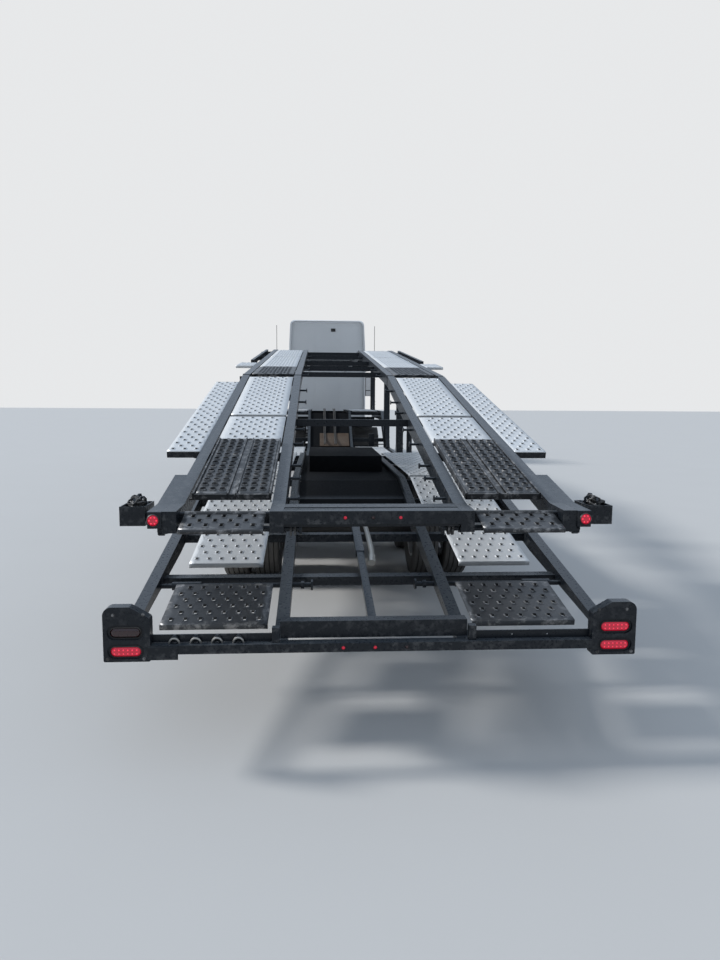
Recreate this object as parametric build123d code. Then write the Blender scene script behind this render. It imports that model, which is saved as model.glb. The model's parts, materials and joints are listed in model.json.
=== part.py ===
from build123d import *
import math
import os

# A two-deck car carrier: a high-roof sleeper tractor and the open semitrailer hinged on its fifth wheel.
# Millimetres. +Y is forward, +X is right, +Z is up. The origin is on the ground, at mid length and mid width.
# "Station" means the distance forward from the rear bumper's back face.
# An outline's rows are two coordinates and, where the corner is rounded, its radius.

# Driving dimensions
OVERALL_LENGTH = 22500
TRAILER_NOSE = 16150
HALF_WIDTH = 1295

# Wheels: axle stations, tyre radius and width, and each tyre's centre across the vehicle
TRACTOR_TYRE = {"radius": 510, "width": 280, "rim": 292}
TRAILER_TYRE = {"radius": 465, "width": 250, "rim": 292}
STEER_AXLE = 21250
STEER_TYRE_X = 1030
DRIVE_AXLES = (14590, 15910)
DRIVE_TYRE_X = (755, 1085)
TRAILER_AXLES = (3750, 5000)
TRAILER_TYRE_X = (770, 1070)

# Upper deck: stations and heights of the top of the rails, the same for every rail
DECK_TAIL = (200, 1197)
DECK_TAIL_BEND = (430, 1203)
KNEE = (4120, 2011)
CREST = (9400, 2640)
RAIL_DEPTH = 110
HINGE_GAP = 50
INNER_RAIL = (450, 520)
OUTER_RAIL = (980, 1050)
WALK_EDGE = 1270

# Lower deck: the line of the top of its rails, from the bumper over the axles, down to the belly and up the neck
LOWER_LINE = ((60, 532), (2900, 1078), (5750, 1078), (7900, 740), (12100, 740), (13350, 1500), (16150, 1500))
LOWER_OUTER = (1215, 1285)
LOWER_INNER = (430, 500)
COUPLER_HEIGHT = 1220
KINGPIN = 15250

# Tractor
FRAME_RAIL_X = (365, 430)
FRAME_TOP = 1020
FRAME_DEPTH = 260
FRAME_ENDS = (13980, 22150)
SLEEPER_SIDE = 1120
CAB_SIDE = 1080
CAB_BACK = 19330
SLEEPER_WALL = 17500
CAB_UNDERSIDE = 1150
WALL = 50
CAB_FLOOR = CAB_UNDERSIDE + WALL

# Sides of the vehicle, for names and for mirroring
SIDES = (("left", -1), ("right", 1))

PARTS = {}


def station(s):
    return s - OVERALL_LENGTH / 2


def flat(rows):
    """A face inside a closed outline."""
    corners = [row[:2] for row in rows]
    radii = [row[2] if len(row) > 2 else 0 for row in rows]
    if not any(radii):
        return make_face(Polyline(*corners, close=True))
    return make_face(FilletPolyline(*corners, radius=radii, close=True))


def mirrored(rows):
    """Right-hand rows of an outline, continued by their mirror images on the left."""
    return [*rows, *[(-row[0], *row[1:]) for row in reversed(rows)]]


def inset(face, amount):
    return offset(face, amount=-amount) if amount else face


def side_shape(rows, x0, x1, shrink=0):
    """An outline of stations and heights, extruded across the vehicle from x0 to x1."""
    face = inset(flat([(station(s), *rest) for s, *rest in rows]), shrink)
    return extrude(Plane.YZ.offset(min(x0, x1)) * face, abs(x1 - x0), dir=(1, 0, 0))


def front_shape(rows, s0, s1, shrink=0):
    """An outline of widths and heights, extruded along the vehicle from s0 to s1."""
    plane = Plane(origin=(0, station(s0), 0), x_dir=(1, 0, 0), z_dir=(0, -1, 0))
    return extrude(plane * inset(flat(rows), shrink), s1 - s0, dir=(0, 1, 0))


def plan_shape(rows, z0, z1, shrink=0):
    """An outline of widths and stations, extruded upwards from z0 to z1."""
    face = inset(flat([(x, station(s), *rest) for x, s, *rest in rows]), shrink)
    return extrude(Pos(0, 0, z0) * face, z1 - z0, dir=(0, 0, 1))


def block(x0, x1, s0, s1, z0, z1):
    """A box between two limits across, along and up."""
    centre = ((x0 + x1) / 2, station((s0 + s1) / 2), (z0 + z1) / 2)
    return Pos(*centre) * Box(abs(x1 - x0), abs(s1 - s0), abs(z1 - z0))


def rod_x(radius, x0, x1, s, z):
    """A round bar across the vehicle."""
    return Pos((x0 + x1) / 2, station(s), z) * Rot(0, 90, 0) * Cylinder(radius, abs(x1 - x0))


def rod_y(radius, x, s0, s1, z):
    """A round bar along the vehicle."""
    return Pos(x, station((s0 + s1) / 2), z) * Rot(90, 0, 0) * Cylinder(radius, abs(s1 - s0))


def rod_z(radius, x, s, z0, z1):
    """An upright round bar."""
    return Pos(x, station(s), (z0 + z1) / 2) * Cylinder(radius, z1 - z0)


def stud_x(radius, x0, x1, s, z):
    """A small eight-sided bar across the vehicle."""
    face = Pos(station(s), z) * RegularPolygon(radius, 8)
    return extrude(Plane.YZ.offset(min(x0, x1)) * face, abs(x1 - x0), dir=(1, 0, 0))


def strut(x0, x1, start, end, depth):
    """A flat bar between two (station, height) points, seen from the side, its depth measured across its run."""
    run, climb = end[0] - start[0], end[1] - start[1]
    half = depth / 2 / math.hypot(run, climb)
    ds, dz = -climb * half, run * half
    rows = [(start[0] + ds, start[1] + dz), (end[0] + ds, end[1] + dz),
            (end[0] - ds, end[1] - dz), (start[0] - ds, start[1] - dz)]
    return side_shape(rows, x0, x1)


def both_sides(shapes):
    """The shapes and their mirror images across the centre plane."""
    return list(shapes) + [mirror(shape, Plane.YZ) for shape in shapes]


def on_side(shape, side):
    """A shape made on the right, or its mirror image on the left."""
    return shape if side > 0 else mirror(shape, Plane.YZ)


def fused(shapes):
    first, *rest = shapes
    return first + rest if rest else first


def height_on(line, s):
    """The height of a line of (station, height) points at a station."""
    for (s0, z0), (s1, z1) in zip(line, line[1:]):
        if s <= s1:
            return z0 + (z1 - z0) * (s - s0) / (s1 - s0)
    return line[-1][1]


def rail(line, s0, s1, depth, x0, x1, tail_depth=None):
    """A rail that follows a line of (station, height) points between two stations, its depth measured upright.

    With a tail depth, the rail deepens evenly from that at s0 to the full depth at s1.
    """
    inside = [(s, z) for s, z in line if s0 < s < s1]
    top = [(s0, height_on(line, s0)), *inside, (s1, height_on(line, s1))]
    start = depth if tail_depth is None else tail_depth
    bottom = [(s, z - start - (depth - start) * (s - s0) / (s1 - s0)) for s, z in reversed(top)]
    return side_shape(top + bottom, x0, x1)


def keep(name, shapes):
    """Stores a node as one compound of its solids."""
    PARTS[name] = Compound([solid for shape in shapes for solid in shape.solids()])


# Wheels, made about the X axis at the origin
TYRE_SIDES = 24
# A tyre's half section: share of its width from the middle, share of its height between rim and tread
TYRE_SECTION = ((0.40, 0.0), (0.50, 0.5), (0.44, 1.0))


def tyre(spec):
    """A tyre as a ruled loft through flat-sided sections, with one flat on the ground."""
    rim, height, width = spec["rim"], spec["radius"] - spec["rim"], spec["width"]
    half = [(share * width, rim + up * height) for share, up in TYRE_SECTION]
    rows = [(-x, r) for x, r in half] + half[::-1]

    def polygon(radius):
        return RegularPolygon(radius, TYRE_SIDES, major_radius=False, rotation=180 / TYRE_SIDES)

    body = loft([Plane.YZ.offset(x) * polygon(r) for x, r in rows], ruled=True)
    return body - extrude(Plane.YZ.offset(-width) * polygon(rim), 2 * width, dir=(1, 0, 0))


def turned(rows):
    """A solid turned about the X axis from rows of (x, radius)."""
    return revolve(make_face(Polyline((rows[0][0], 0), *rows, (rows[-1][0], 0), close=True)), Axis.X)


RIM_GAP = 0.3
BARREL_THICK = 18
DISC_THICK = 12
HAND_HOLES = 5
HAND_HOLE_RADIUS = 34
HAND_HOLE_CIRCLE = 200
HUB_RADIUS = 105


def rim(spec, hub_x, dish):
    """A steel wheel: a barrel under the tyre and a dished disc, its bolting face at hub_x, its rim end dish away."""
    side, r = TYRE_SECTION[0][0] * spec["width"], spec["rim"] - RIM_GAP
    barrel = revolve(make_face(Polyline((-side, r), (-side, r - BARREL_THICK - 6), (-side + 30, r - BARREL_THICK),
                                        (side - 30, r - BARREL_THICK), (side, r - BARREL_THICK - 6), (side, r),
                                        close=True)), Axis.X)
    inner, edge = HUB_RADIUS + 35, r - BARREL_THICK / 2
    disc = turned([(hub_x, inner), (hub_x + dish, edge), (hub_x + dish + DISC_THICK, edge),
                   (hub_x + DISC_THICK, inner)])
    holes = [
        Rot(360 * k / HAND_HOLES, 0, 0) * Pos(hub_x + dish / 2, 0, HAND_HOLE_CIRCLE) * Rot(0, 90, 0)
        * Cylinder(HAND_HOLE_RADIUS, abs(dish) + 4 * DISC_THICK)
        for k in range(HAND_HOLES)
    ]
    return fused([barrel, disc - holes])


def hub(x0, length):
    """A hub with its cap, from its flange at x0 outwards."""
    return turned([(x0, HUB_RADIUS), (x0 + 0.6 * length, HUB_RADIUS), (x0 + 0.7 * length, 78),
                   (x0 + length - 10, 78), (x0 + length, 66)])


def placed_wheel(shape, side, s, radius):
    """Puts a wheel made for the right side at its axle; the left one is its mirror image."""
    return on_side(Pos(0, station(s), radius) * shape, side)


def make_wheels():
    radius = TRACTOR_TYRE["radius"]
    steer_rim = Pos(STEER_TYRE_X, 0, 0) * fused([rim(TRACTOR_TYRE, 70, -45), hub(40, 115)])
    steer_tyre = Pos(STEER_TYRE_X, 0, 0) * tyre(TRACTOR_TYRE)
    for label, side in SIDES:
        keep(f"steer_tyre_{label}", [placed_wheel(steer_tyre, side, STEER_AXLE, radius)])
        keep(f"steer_rim_{label}", [placed_wheel(steer_rim, side, STEER_AXLE, radius)])
    groups = (
        ("drive", DRIVE_AXLES, TRACTOR_TYRE, DRIVE_TYRE_X),
        ("trailer", TRAILER_AXLES, TRAILER_TYRE, TRAILER_TYRE_X),
    )
    for kind, axles, spec, (inner_x, outer_x) in groups:
        # The two discs bolt together midway between the tyres
        reach = (outer_x - inner_x) / 2
        rims = fused([
            Pos(inner_x, 0, 0) * rim(spec, reach - DISC_THICK, -60),
            Pos(outer_x, 0, 0) * rim(spec, -reach, 60),
            Pos((inner_x + outer_x) / 2, 0, 0) * hub(-DISC_THICK, reach + 70),
        ])
        tyres = [Pos(x, 0, 0) * tyre(spec) for x in (inner_x, outer_x)]
        for number, s in enumerate(axles, 1):
            for label, side in SIDES:
                keep(f"{kind}{number}_tyres_{label}", [placed_wheel(t, side, s, spec["radius"]) for t in tyres])
                keep(f"{kind}{number}_rims_{label}", [placed_wheel(rims, side, s, spec["radius"])])


# Grip plates: flat sheets with a turned-down edge at each end and staggered holes
PLATE_THICK = 6
PLATE_LIP = 28


def grip_plate(x0, x1, length, rows, columns, hole, sides=4, lip=PLATE_LIP, stagger=0.25):
    """A sheet from the origin along +Y, its top at z 0, with rows of many-sided holes."""
    pitch_x, pitch_y = (x1 - x0) / columns, length / rows
    holes = []
    for row in range(rows):
        shift = 0.5 - stagger if row % 2 else 0.5 + stagger
        for column in range(columns):
            cx, cy = x0 + (column + shift) * pitch_x, (row + 0.5) * pitch_y
            turns = [math.tau * k / sides for k in range(sides)]
            holes.append(Wire.make_polygon([(cx + hole * math.cos(t), cy + hole * math.sin(t), 0) for t in turns]))
    edge = Wire.make_polygon([(x0, 0, 0), (x1, 0, 0), (x1, length, 0), (x0, length, 0)])
    sheet = extrude(Face(edge, holes), PLATE_THICK, dir=(0, 0, -1))
    if not lip:
        return sheet
    middle, drop = (x0 + x1) / 2, PLATE_THICK + lip / 2
    ends = (PLATE_THICK / 2, length - PLATE_THICK / 2)
    return fused([sheet, *[Pos(middle, y, -drop) * Box(x1 - x0, PLATE_THICK, lip) for y in ends]])


def laid(shape, line, s, rise=0):
    """Lays a plate made along +Y on a sloping line at a station."""
    step = 10
    slope = math.degrees(math.atan2(height_on(line, s + step) - height_on(line, s), step))
    return Pos(0, station(s), height_on(line, s) + rise) * Rot(slope, 0, 0) * shape


# Springs and the brackets that carry them
SPRING_X = (425, 475)


def leaf_spring(centre, half, z_end, z_middle, thick, x0, x1):
    """A bowed spring pack between two ends at z_end, its middle at z_middle."""
    a, b, c = (station(centre - half), z_end), (station(centre), z_middle), (station(centre + half), z_end)
    low = [(y, z - thick) for y, z in (a, b, c)]
    outline = ThreePointArc(a, b, c) + Line(c, low[2]) + ThreePointArc(low[2], low[1], low[0]) + Line(low[0], a)
    return extrude(Plane.YZ.offset(x0) * make_face(outline), x1 - x0, dir=(1, 0, 0))


def hanger(s, half, z0, z1, x0, x1):
    """A spring hanger, wide at the frame and narrow at the spring's eye."""
    return side_shape([(s - half, z1), (s + half, z1), (s + half / 2, z0), (s - half / 2, z0)], x0, x1)


# Tie-down bars: a ratchet shaft with a drum, and at its inner end a capstan head for a pry bar
SHAFT_RADIUS = 15
DRUM_RADIUS = 25
HEAD_RADIUS = 34


def tie_down_bar(x_head, x_outer, s, z):
    """A shaft on the right from its head at x_head to x_outer, with its drum beside the outer end."""
    shaft = rod_x(SHAFT_RADIUS, x_head, x_outer, s, z)
    drum = rod_x(DRUM_RADIUS, x_outer - 260, x_outer - 90, s, z)
    head = stud_x(HEAD_RADIUS, x_head - 12, x_head, s, z)
    collar = stud_x(DRUM_RADIUS, x_head + 40, x_head + 60, s, z)
    return fused([shaft, drum, head, collar])


def t_pin(x, s, z):
    """A short tie-down pin with a disc head that stands out from a rail's inner side towards the centre."""
    return fused([stud_x(9, x - 62, x, s, z), stud_x(19, x - 70, x - 62, s, z)])


# Trailer
LIFT_BASE = (8000, 780)
LIFT_HEAD = (7950, 2280)
LIFT_X = 1200
LIFT_PIN = 18
# Two cheeks hold each end of a cylinder: their inner and outer faces, measured from its middle
LIFT_CHEEK = (28, 48)
# The rod's eye is wider than its pin, because the deck's arc leaves the rod's line by up to 4.6 mm
LIFT_EYE = {"hole": 24, "outer": 37}
# Closed floor between the inner rails: half width, depth under the rails' top, thickness, and its two runs
FLOOR_HALF, FLOOR_SINK, FLOOR_THICK = 435, 34, 10
AXLE_FLOOR, NECK_FLOOR = (2400, 5700), (12150, 13320)
# The raised box over the axles: half width, stations and top
AXLE_BOX = {"half": 360, "s": (3660, 4990), "top": 1200, "wall": 6}
CROSS_STATIONS = (960, 1650, 2400, 2950, 4375, 5700, 6600, 7900, 9400, 10900, 12000, 13400, 14400, 16050)
LEG_STATION = 12610
LEG_X = 940


def make_trailer_frame():
    low = LOWER_LINE
    rails = both_sides([
        rail(low, 60, 1500, 105, *LOWER_OUTER, tail_depth=26),
        rail(low, 1500, 5900, 105, *LOWER_OUTER),
        rail(low, 5900, 13350, 260, *LOWER_OUTER),
        rail(low, 13350, TRAILER_NOSE, 200, *LOWER_OUTER),
        rail(low, 131, 2600, 150, *LOWER_INNER, tail_depth=40),
        rail(low, 2600, 13350, 150, *LOWER_INNER),
        rail(low, 13350, TRAILER_NOSE, 200, *LOWER_INNER),
        rail(low, 2600, 6600, 300, LOWER_INNER[0], LOWER_INNER[0] + 40),
    ])
    cross = []
    for s in CROSS_STATIONS:
        top = height_on(low, s)
        cross.append(block(-LOWER_OUTER[1], LOWER_OUTER[1], s, s + 90, top - 95, top - 40))
    bars = both_sides([tie_down_bar(320, LOWER_OUTER[0] + 20, 870, 640)])
    keep("trailer_frame", [fused([*rails, *cross, *bars, *coupler(), *landing_gear(), centre_tube(),
                                  *lift_seats(), *spring_hangers(), *gussets(), *floors()])])


def floors():
    """Black sheets between the inner rails over the axles, with a raised box in the middle, and up the neck."""
    line = [(s, z - FLOOR_SINK) for s, z in LOWER_LINE]
    axle_floor, neck_floor = (rail(line, *run, FLOOR_THICK, -FLOOR_HALF, FLOOR_HALF)
                              for run in (AXLE_FLOOR, NECK_FLOOR))
    half, (s0, s1), top, wall = AXLE_BOX["half"], AXLE_BOX["s"], AXLE_BOX["top"], AXLE_BOX["wall"]
    foot = height_on(line, s0) - FLOOR_THICK
    hood = block(-half, half, s0, s1, foot, top)
    inside = block(wall - half, half - wall, s0 + wall, s1 - wall, foot - wall, top - wall)
    return [(axle_floor + hood) - inside, neck_floor]


def coupler():
    """The coupler plate under the neck, its two keels and the kingpin."""
    plate = plan_shape(mirrored(((600, KINGPIN - 650, 60), (600, KINGPIN + 480, 120), (420, KINGPIN + 640, 80))),
                       COUPLER_HEIGHT + 1, COUPLER_HEIGHT + 13)
    keels = [side_shape([(KINGPIN - 1800, 1400), (KINGPIN + 700, 1400), (KINGPIN + 620, COUPLER_HEIGHT + 13),
                         (KINGPIN - 700, COUPLER_HEIGHT + 13)], x - 40, x + 40) for x in (-300, 300)]
    bolster = block(-LOWER_OUTER[0], LOWER_OUTER[0], KINGPIN - 60, KINGPIN + 60, COUPLER_HEIGHT + 13, 1320)
    # A standard 2 inch kingpin: its neck, and the head that the jaws hold
    neck = rod_z(25.4, 0, KINGPIN, COUPLER_HEIGHT - 84, COUPLER_HEIGHT + 10)
    head = rod_z(35.7, 0, KINGPIN, COUPLER_HEIGHT - 84, COUPLER_HEIGHT - 70)
    return [plate, *keels, bolster, neck, head]


def landing_gear():
    """Two telescoping legs with their feet raised, the beam and braces that hold them, and the crank."""
    s, x = LEG_STATION, LEG_X
    beam = block(-1250, 1250, s - 50, s + 50, 820, 900)
    legs = both_sides([
        block(x - 60, x + 60, s - 60, s + 60, 450, 1000),
        block(x - 35, x + 35, s - 35, s + 35, 340, 450),
        side_shape([(s - 120, 300, 25), (s + 120, 300, 25), (s + 90, 345), (s - 90, 345)], x - 110, x + 110),
        strut(x - 20, x + 20, (s - 40, 560), (s - 620, 640), 50),
    ])
    cross_shaft = rod_x(14, -x, x, s, 720)
    crank = [rod_x(12, x, 1300, s, 760), block(1284, 1300, s - 6, s + 200, 750, 770)]
    return [beam, *legs, cross_shaft, *crank]


def centre_tube():
    """The telescoping tube on the centre line of the sloping tail, thicker in its front half."""
    start, joint, end = (135, 620), (1250, 745), (2450, 880)
    outer = strut(-28, 28, joint, end, 44)
    inner = strut(-22, 22, start, joint, 34)
    return fused([outer, inner])


def lift_cheeks(s, z, z_root):
    """Two cheeks and their pin at one end of the right cylinder, rooted at z_root."""
    near, far = LIFT_CHEEK
    tip = z - 34 if z_root > z else z + 34
    rows = [(s - 34, tip, 30), (s + 34, tip, 30), (s + 55, z_root), (s - 55, z_root)]
    cheeks = [side_shape(rows, LIFT_X + a, LIFT_X + b) for a, b in ((-far, -near), (near, far))]
    return [*cheeks, rod_x(LIFT_PIN, LIFT_X - near, LIFT_X + near, s, z)]


def lift_seats():
    """The forks at the cylinders' feet, each on a shelf inside the outer rail."""
    s, z = LIFT_BASE
    shelf = block(LIFT_X - LIFT_CHEEK[1], LOWER_OUTER[0] + 20, s - 60, s + 60, z - 80, z - 45)
    return both_sides([shelf, *lift_cheeks(s, z, z - 45)])


def spring_hangers():
    """Hangers under the deep inner rails, before, between and behind the two trailer axles."""
    bottom = 1078 - 300
    return both_sides([hanger(s, 90, 640, bottom, LOWER_INNER[0], LOWER_INNER[0] + 40)
                       for s in (3125, 4375, 5625)])


def gussets():
    """Triangles in the corners where the sloping rails meet the neck, and at the tail's first cross member."""
    neck = side_shape([(13200, 1150), (13900, 1300), (13360, 1300)], *LOWER_OUTER)
    tail = plan_shape([(LOWER_INNER[1], 1050), (LOWER_INNER[1] + 160, 1050), (LOWER_INNER[1], 1210)], 626, 640)
    return both_sides([neck, tail])


def make_trailer_axles():
    z = TRAILER_TYRE["radius"]
    inner_end = sum(TRAILER_TYRE_X) / 2 - 45
    shapes = []
    for s in TRAILER_AXLES:
        beam = rod_x(63, -inner_end, inner_end, s, z)
        springs = both_sides([
            leaf_spring(s, 560, 640, 580, 40, *SPRING_X),
            block(*SPRING_X, s - 70, s + 70, z, 545),
            rod_z(11, SPRING_X[0] + 25, s - 50, z - 80, 600),
            rod_z(11, SPRING_X[0] + 25, s + 50, z - 80, 600),
        ])
        shapes.append(fused([beam, *springs]))
    keep("trailer_axles", shapes)


# Rear bumper: a low bar between two upright lamp boxes, and a beam set forward between the runway pockets
LAMP_BOX = ((1075, 505, 8), (HALF_WIDTH, 505, 8), (HALF_WIDTH, 772, 42), (1170, 772, 20), (1075, 716, 20))
LAMP_LENGTH, LAMP_HEIGHT, LAMP_DEPTH = 152, 54, 14
LAMP_X = 1190
LAMP_HEIGHTS = (555, 648)
LAMP_POCKET = 8
POCKET_X = (500, 1060)
RING_X = (662, 764, 866, 968)
PLATE_HOLES_X = (686, 864)
PLATE_HOLE_Z = 600
PLATE_HOLE_RADIUS = 4
MARKER_RADIUS = 10
MARKER_SPACING = 155


def oval(x, s, z, length, height, depth):
    """A round-ended upright plate, its back face at station s and its depth forward."""
    plane = Plane(origin=(x, station(s), z), x_dir=(1, 0, 0), z_dir=(0, -1, 0))
    return extrude(plane * SlotOverall(length, height), depth, dir=(0, 1, 0))


def make_rear_bumper():
    bar = block(-1080, 1080, 0, 60, 538, 582)
    boxes = both_sides([front_shape(LAMP_BOX, 0, 60)])
    pockets = both_sides([oval(LAMP_X, -1, z, LAMP_LENGTH + 20, LAMP_HEIGHT + 20, LAMP_POCKET + 1)
                          for z in LAMP_HEIGHTS])
    posts = both_sides([block(POCKET_X[0] - 36, POCKET_X[0], 20, 60, 582, 655)])
    # Four ring hooks across the left pocket, and the plain plate holder across the right one
    hook_bar = block(-1075, -POCKET_X[0], 44, 52, 584, 622)
    rings = [Pos(-x, station(32), 596) * Rot(90, 0, 0) * (Cylinder(22, 12) - Cylinder(14, 20)) for x in RING_X]
    ring_tabs = [block(-x - 8, -x + 8, 34, 46, 612, 622) for x in RING_X]
    holder = block(POCKET_X[0], 1075, 44, 52, 582, 622)
    plate_holes = [rod_y(PLATE_HOLE_RADIUS, x, 30, 60, PLATE_HOLE_Z) for x in PLATE_HOLES_X]
    body = fused([bar, *boxes, *posts, hook_bar, *rings, *ring_tabs, holder]) - [*pockets, *plate_holes]
    centre_beam = block(-462, 462, 62, 131, 590, 674)
    keep("rear_bumper", [body, centre_beam])


def make_tail_lamps():
    lamps = both_sides([oval(LAMP_X, LAMP_POCKET - LAMP_DEPTH, z, LAMP_LENGTH, LAMP_HEIGHT, LAMP_DEPTH)
                        for z in LAMP_HEIGHTS])
    markers = [rod_y(MARKER_RADIUS, x, -4, 0, 560) for x in (-MARKER_SPACING, 0, MARKER_SPACING)]
    keep("tail_lamps", [*lamps, *markers])


# Lower deck plates: station, length, inner edge, outer edge, rows, columns, hole radius
LOWER_PLATES = (
    (1060, 540, 620, 1080, 4, 3, 24),
    (1760, 1130, 540, 1140, 4, 2, 26),
    (2960, 2700, 540, 1140, 5, 2, 26),
    (7990, 3900, 540, 1140, 4, 2, 26),
    (13500, 2500, 540, 1140, 3, 2, 26),
)
BLACK_PLATES = (
    (300, 480, 540, 1100, 4, 4, 18),
)


def make_lower_plates():
    def plates(table):
        return both_sides([laid(grip_plate(x0, x1, length, rows, columns, hole), LOWER_LINE, s, 8)
                           for s, length, x0, x1, rows, columns, hole in table])

    keep("lower_deck_plates", plates(LOWER_PLATES))
    keep("lower_tail_plates", plates(BLACK_PLATES))


# Upper deck, front section on fixed posts
POST_STATIONS = (9520, 11950, 15900)
# Each post's brace leans forward, except at the trailer's nose
BRACE_REACH = (330, -330, -330)
POST_X = (1160, 1280)
FRONT_CROSS = (9480, 10700, 11910, 13500, 14900, 16040)
# Plates along a deck section: station, length and rows of holes
FRONT_PLATES = ((9570, 1110, 3), (10790, 1100, 3), (12000, 1480, 3), (13590, 1290, 3), (14990, 1030, 3))
MID_PLATES = ((4260, 1020, 4), (5340, 1960, 8), (7360, 1880, 8))
REAR_PLATES = ((1620, 730, 5), (2400, 1640, 10))
PLATE_X = (530, 970)


def make_front_deck():
    z = CREST[1]
    s0 = CREST[0] + HINGE_GAP / 2
    rails = both_sides([rail(UPPER_FRONT_LINE, s0, TRAILER_NOSE, RAIL_DEPTH, *x) for x in (OUTER_RAIL, INNER_RAIL)])
    cross = [block(-OUTER_RAIL[1], OUTER_RAIL[1], s, s + 80, z - 100, z - 40) for s in FRONT_CROSS]
    # Each outrigger carries the deck on a post, tapering towards it
    arm = [(OUTER_RAIL[1], z - 108), (POST_X[0], z - 98), (POST_X[1], z - 98), (POST_X[1], z - 40),
           (OUTER_RAIL[1], z - 30)]
    outriggers = both_sides([front_shape(arm, s - 60, s + 60) for s in POST_STATIONS])
    pins = both_sides([t_pin(INNER_RAIL[0], s, z - 55) for s in (10200, 11300, 12600, 14200)])
    crest_lugs = both_sides([lug(CREST_AXIS, 100, *LUG_X, False),
                             rod_x(PIN_RADIUS, LUG_X[1], LUG_MATE_X[1] + 10, *CREST_AXIS)])
    keep("front_deck_frame", [fused([*rails, *cross, *outriggers, *pins, *crest_lugs])])
    keep("front_deck_plates", both_sides([
        laid(grip_plate(*PLATE_X, length, rows, 2, 26), UPPER_FRONT_LINE, s, -2)
        for s, length, rows in FRONT_PLATES
    ]))
    posts = []
    for s, reach in zip(POST_STATIONS, BRACE_REACH):
        foot = height_on(LOWER_LINE, s)
        shaft = block(*POST_X, s - 60, s + 60, foot, z - 98)
        brace = strut(POST_X[0] + 20, POST_X[1] - 20, (s, foot + 560), (s + reach, foot), 60)
        below_foot = block(*POST_X, s - 500, s + 500, foot - 200, foot)
        posts.append(fused([shaft, brace - below_foot]))
    keep("deck_posts", both_sides(posts))


UPPER_REAR_LINE = (DECK_TAIL, DECK_TAIL_BEND, KNEE)
UPPER_MID_LINE = (KNEE, CREST)
UPPER_FRONT_LINE = (CREST, (TRAILER_NOSE, CREST[1]))

# Hinge lugs beside the inner rails: the axis is at half the rails' depth
KNEE_AXIS = (KNEE[0], KNEE[1] - RAIL_DEPTH / 2)
CREST_AXIS = (CREST[0], CREST[1] - RAIL_DEPTH / 2)
LUG_X = (540, 560)
LUG_MATE_X = (566, 586)
LUG_RADIUS = 34
PIN_RADIUS = 20


# Bars under the deck sections: their width along, and their bottom and top under the rails' top
BEARER_WIDTH, BEARER_LOW, BEARER_HIGH = 60, 95, 40


def deck_bearer(line, s):
    """A bar across the whole deck section at a station."""
    z = height_on(line, s + BEARER_WIDTH / 2)
    return block(-OUTER_RAIL[1], OUTER_RAIL[1], s, s + BEARER_WIDTH, z - BEARER_LOW, z - BEARER_HIGH)


def runway_bearers(line, s):
    """A bar under each runway only, so that the middle of the deck stays open."""
    z = height_on(line, s + BEARER_WIDTH / 2)
    return both_sides([block(INNER_RAIL[0] + 10, OUTER_RAIL[1] - 10, s, s + BEARER_WIDTH,
                             z - BEARER_LOW, z - BEARER_HIGH)])


def lug(axis, reach, x0, x1, hole):
    """A plate from the hinge axis to a cross member, reach millimetres away along the deck."""
    s, z = axis
    arm = side_shape([(s, z - LUG_RADIUS + 4), (s, z + LUG_RADIUS - 4), (s + reach, z + 20), (s + reach, z - 30)],
                     x0, x1)
    body = fused([rod_x(LUG_RADIUS, x0, x1, s, z), arm])
    return body - rod_x(PIN_RADIUS + 0.3, x0 - 1, x1 + 1, s, z) if hole else body


# Bars across the decks, and bars under the runways only
MID_CROSS, MID_RUNWAY_CROSS = (4950, 5870, 6840, 8290, CREST[0] - 135), (KNEE[0] + 75,)
REAR_CROSS, REAR_RUNWAY_CROSS = (360, 2380), (1450, 3300, KNEE[0] - 135)
SIDE_BAR_X = (1150, 1190)
SIDE_BAR_START = 6500
STEP_PLATE = (5400, 560)


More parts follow.
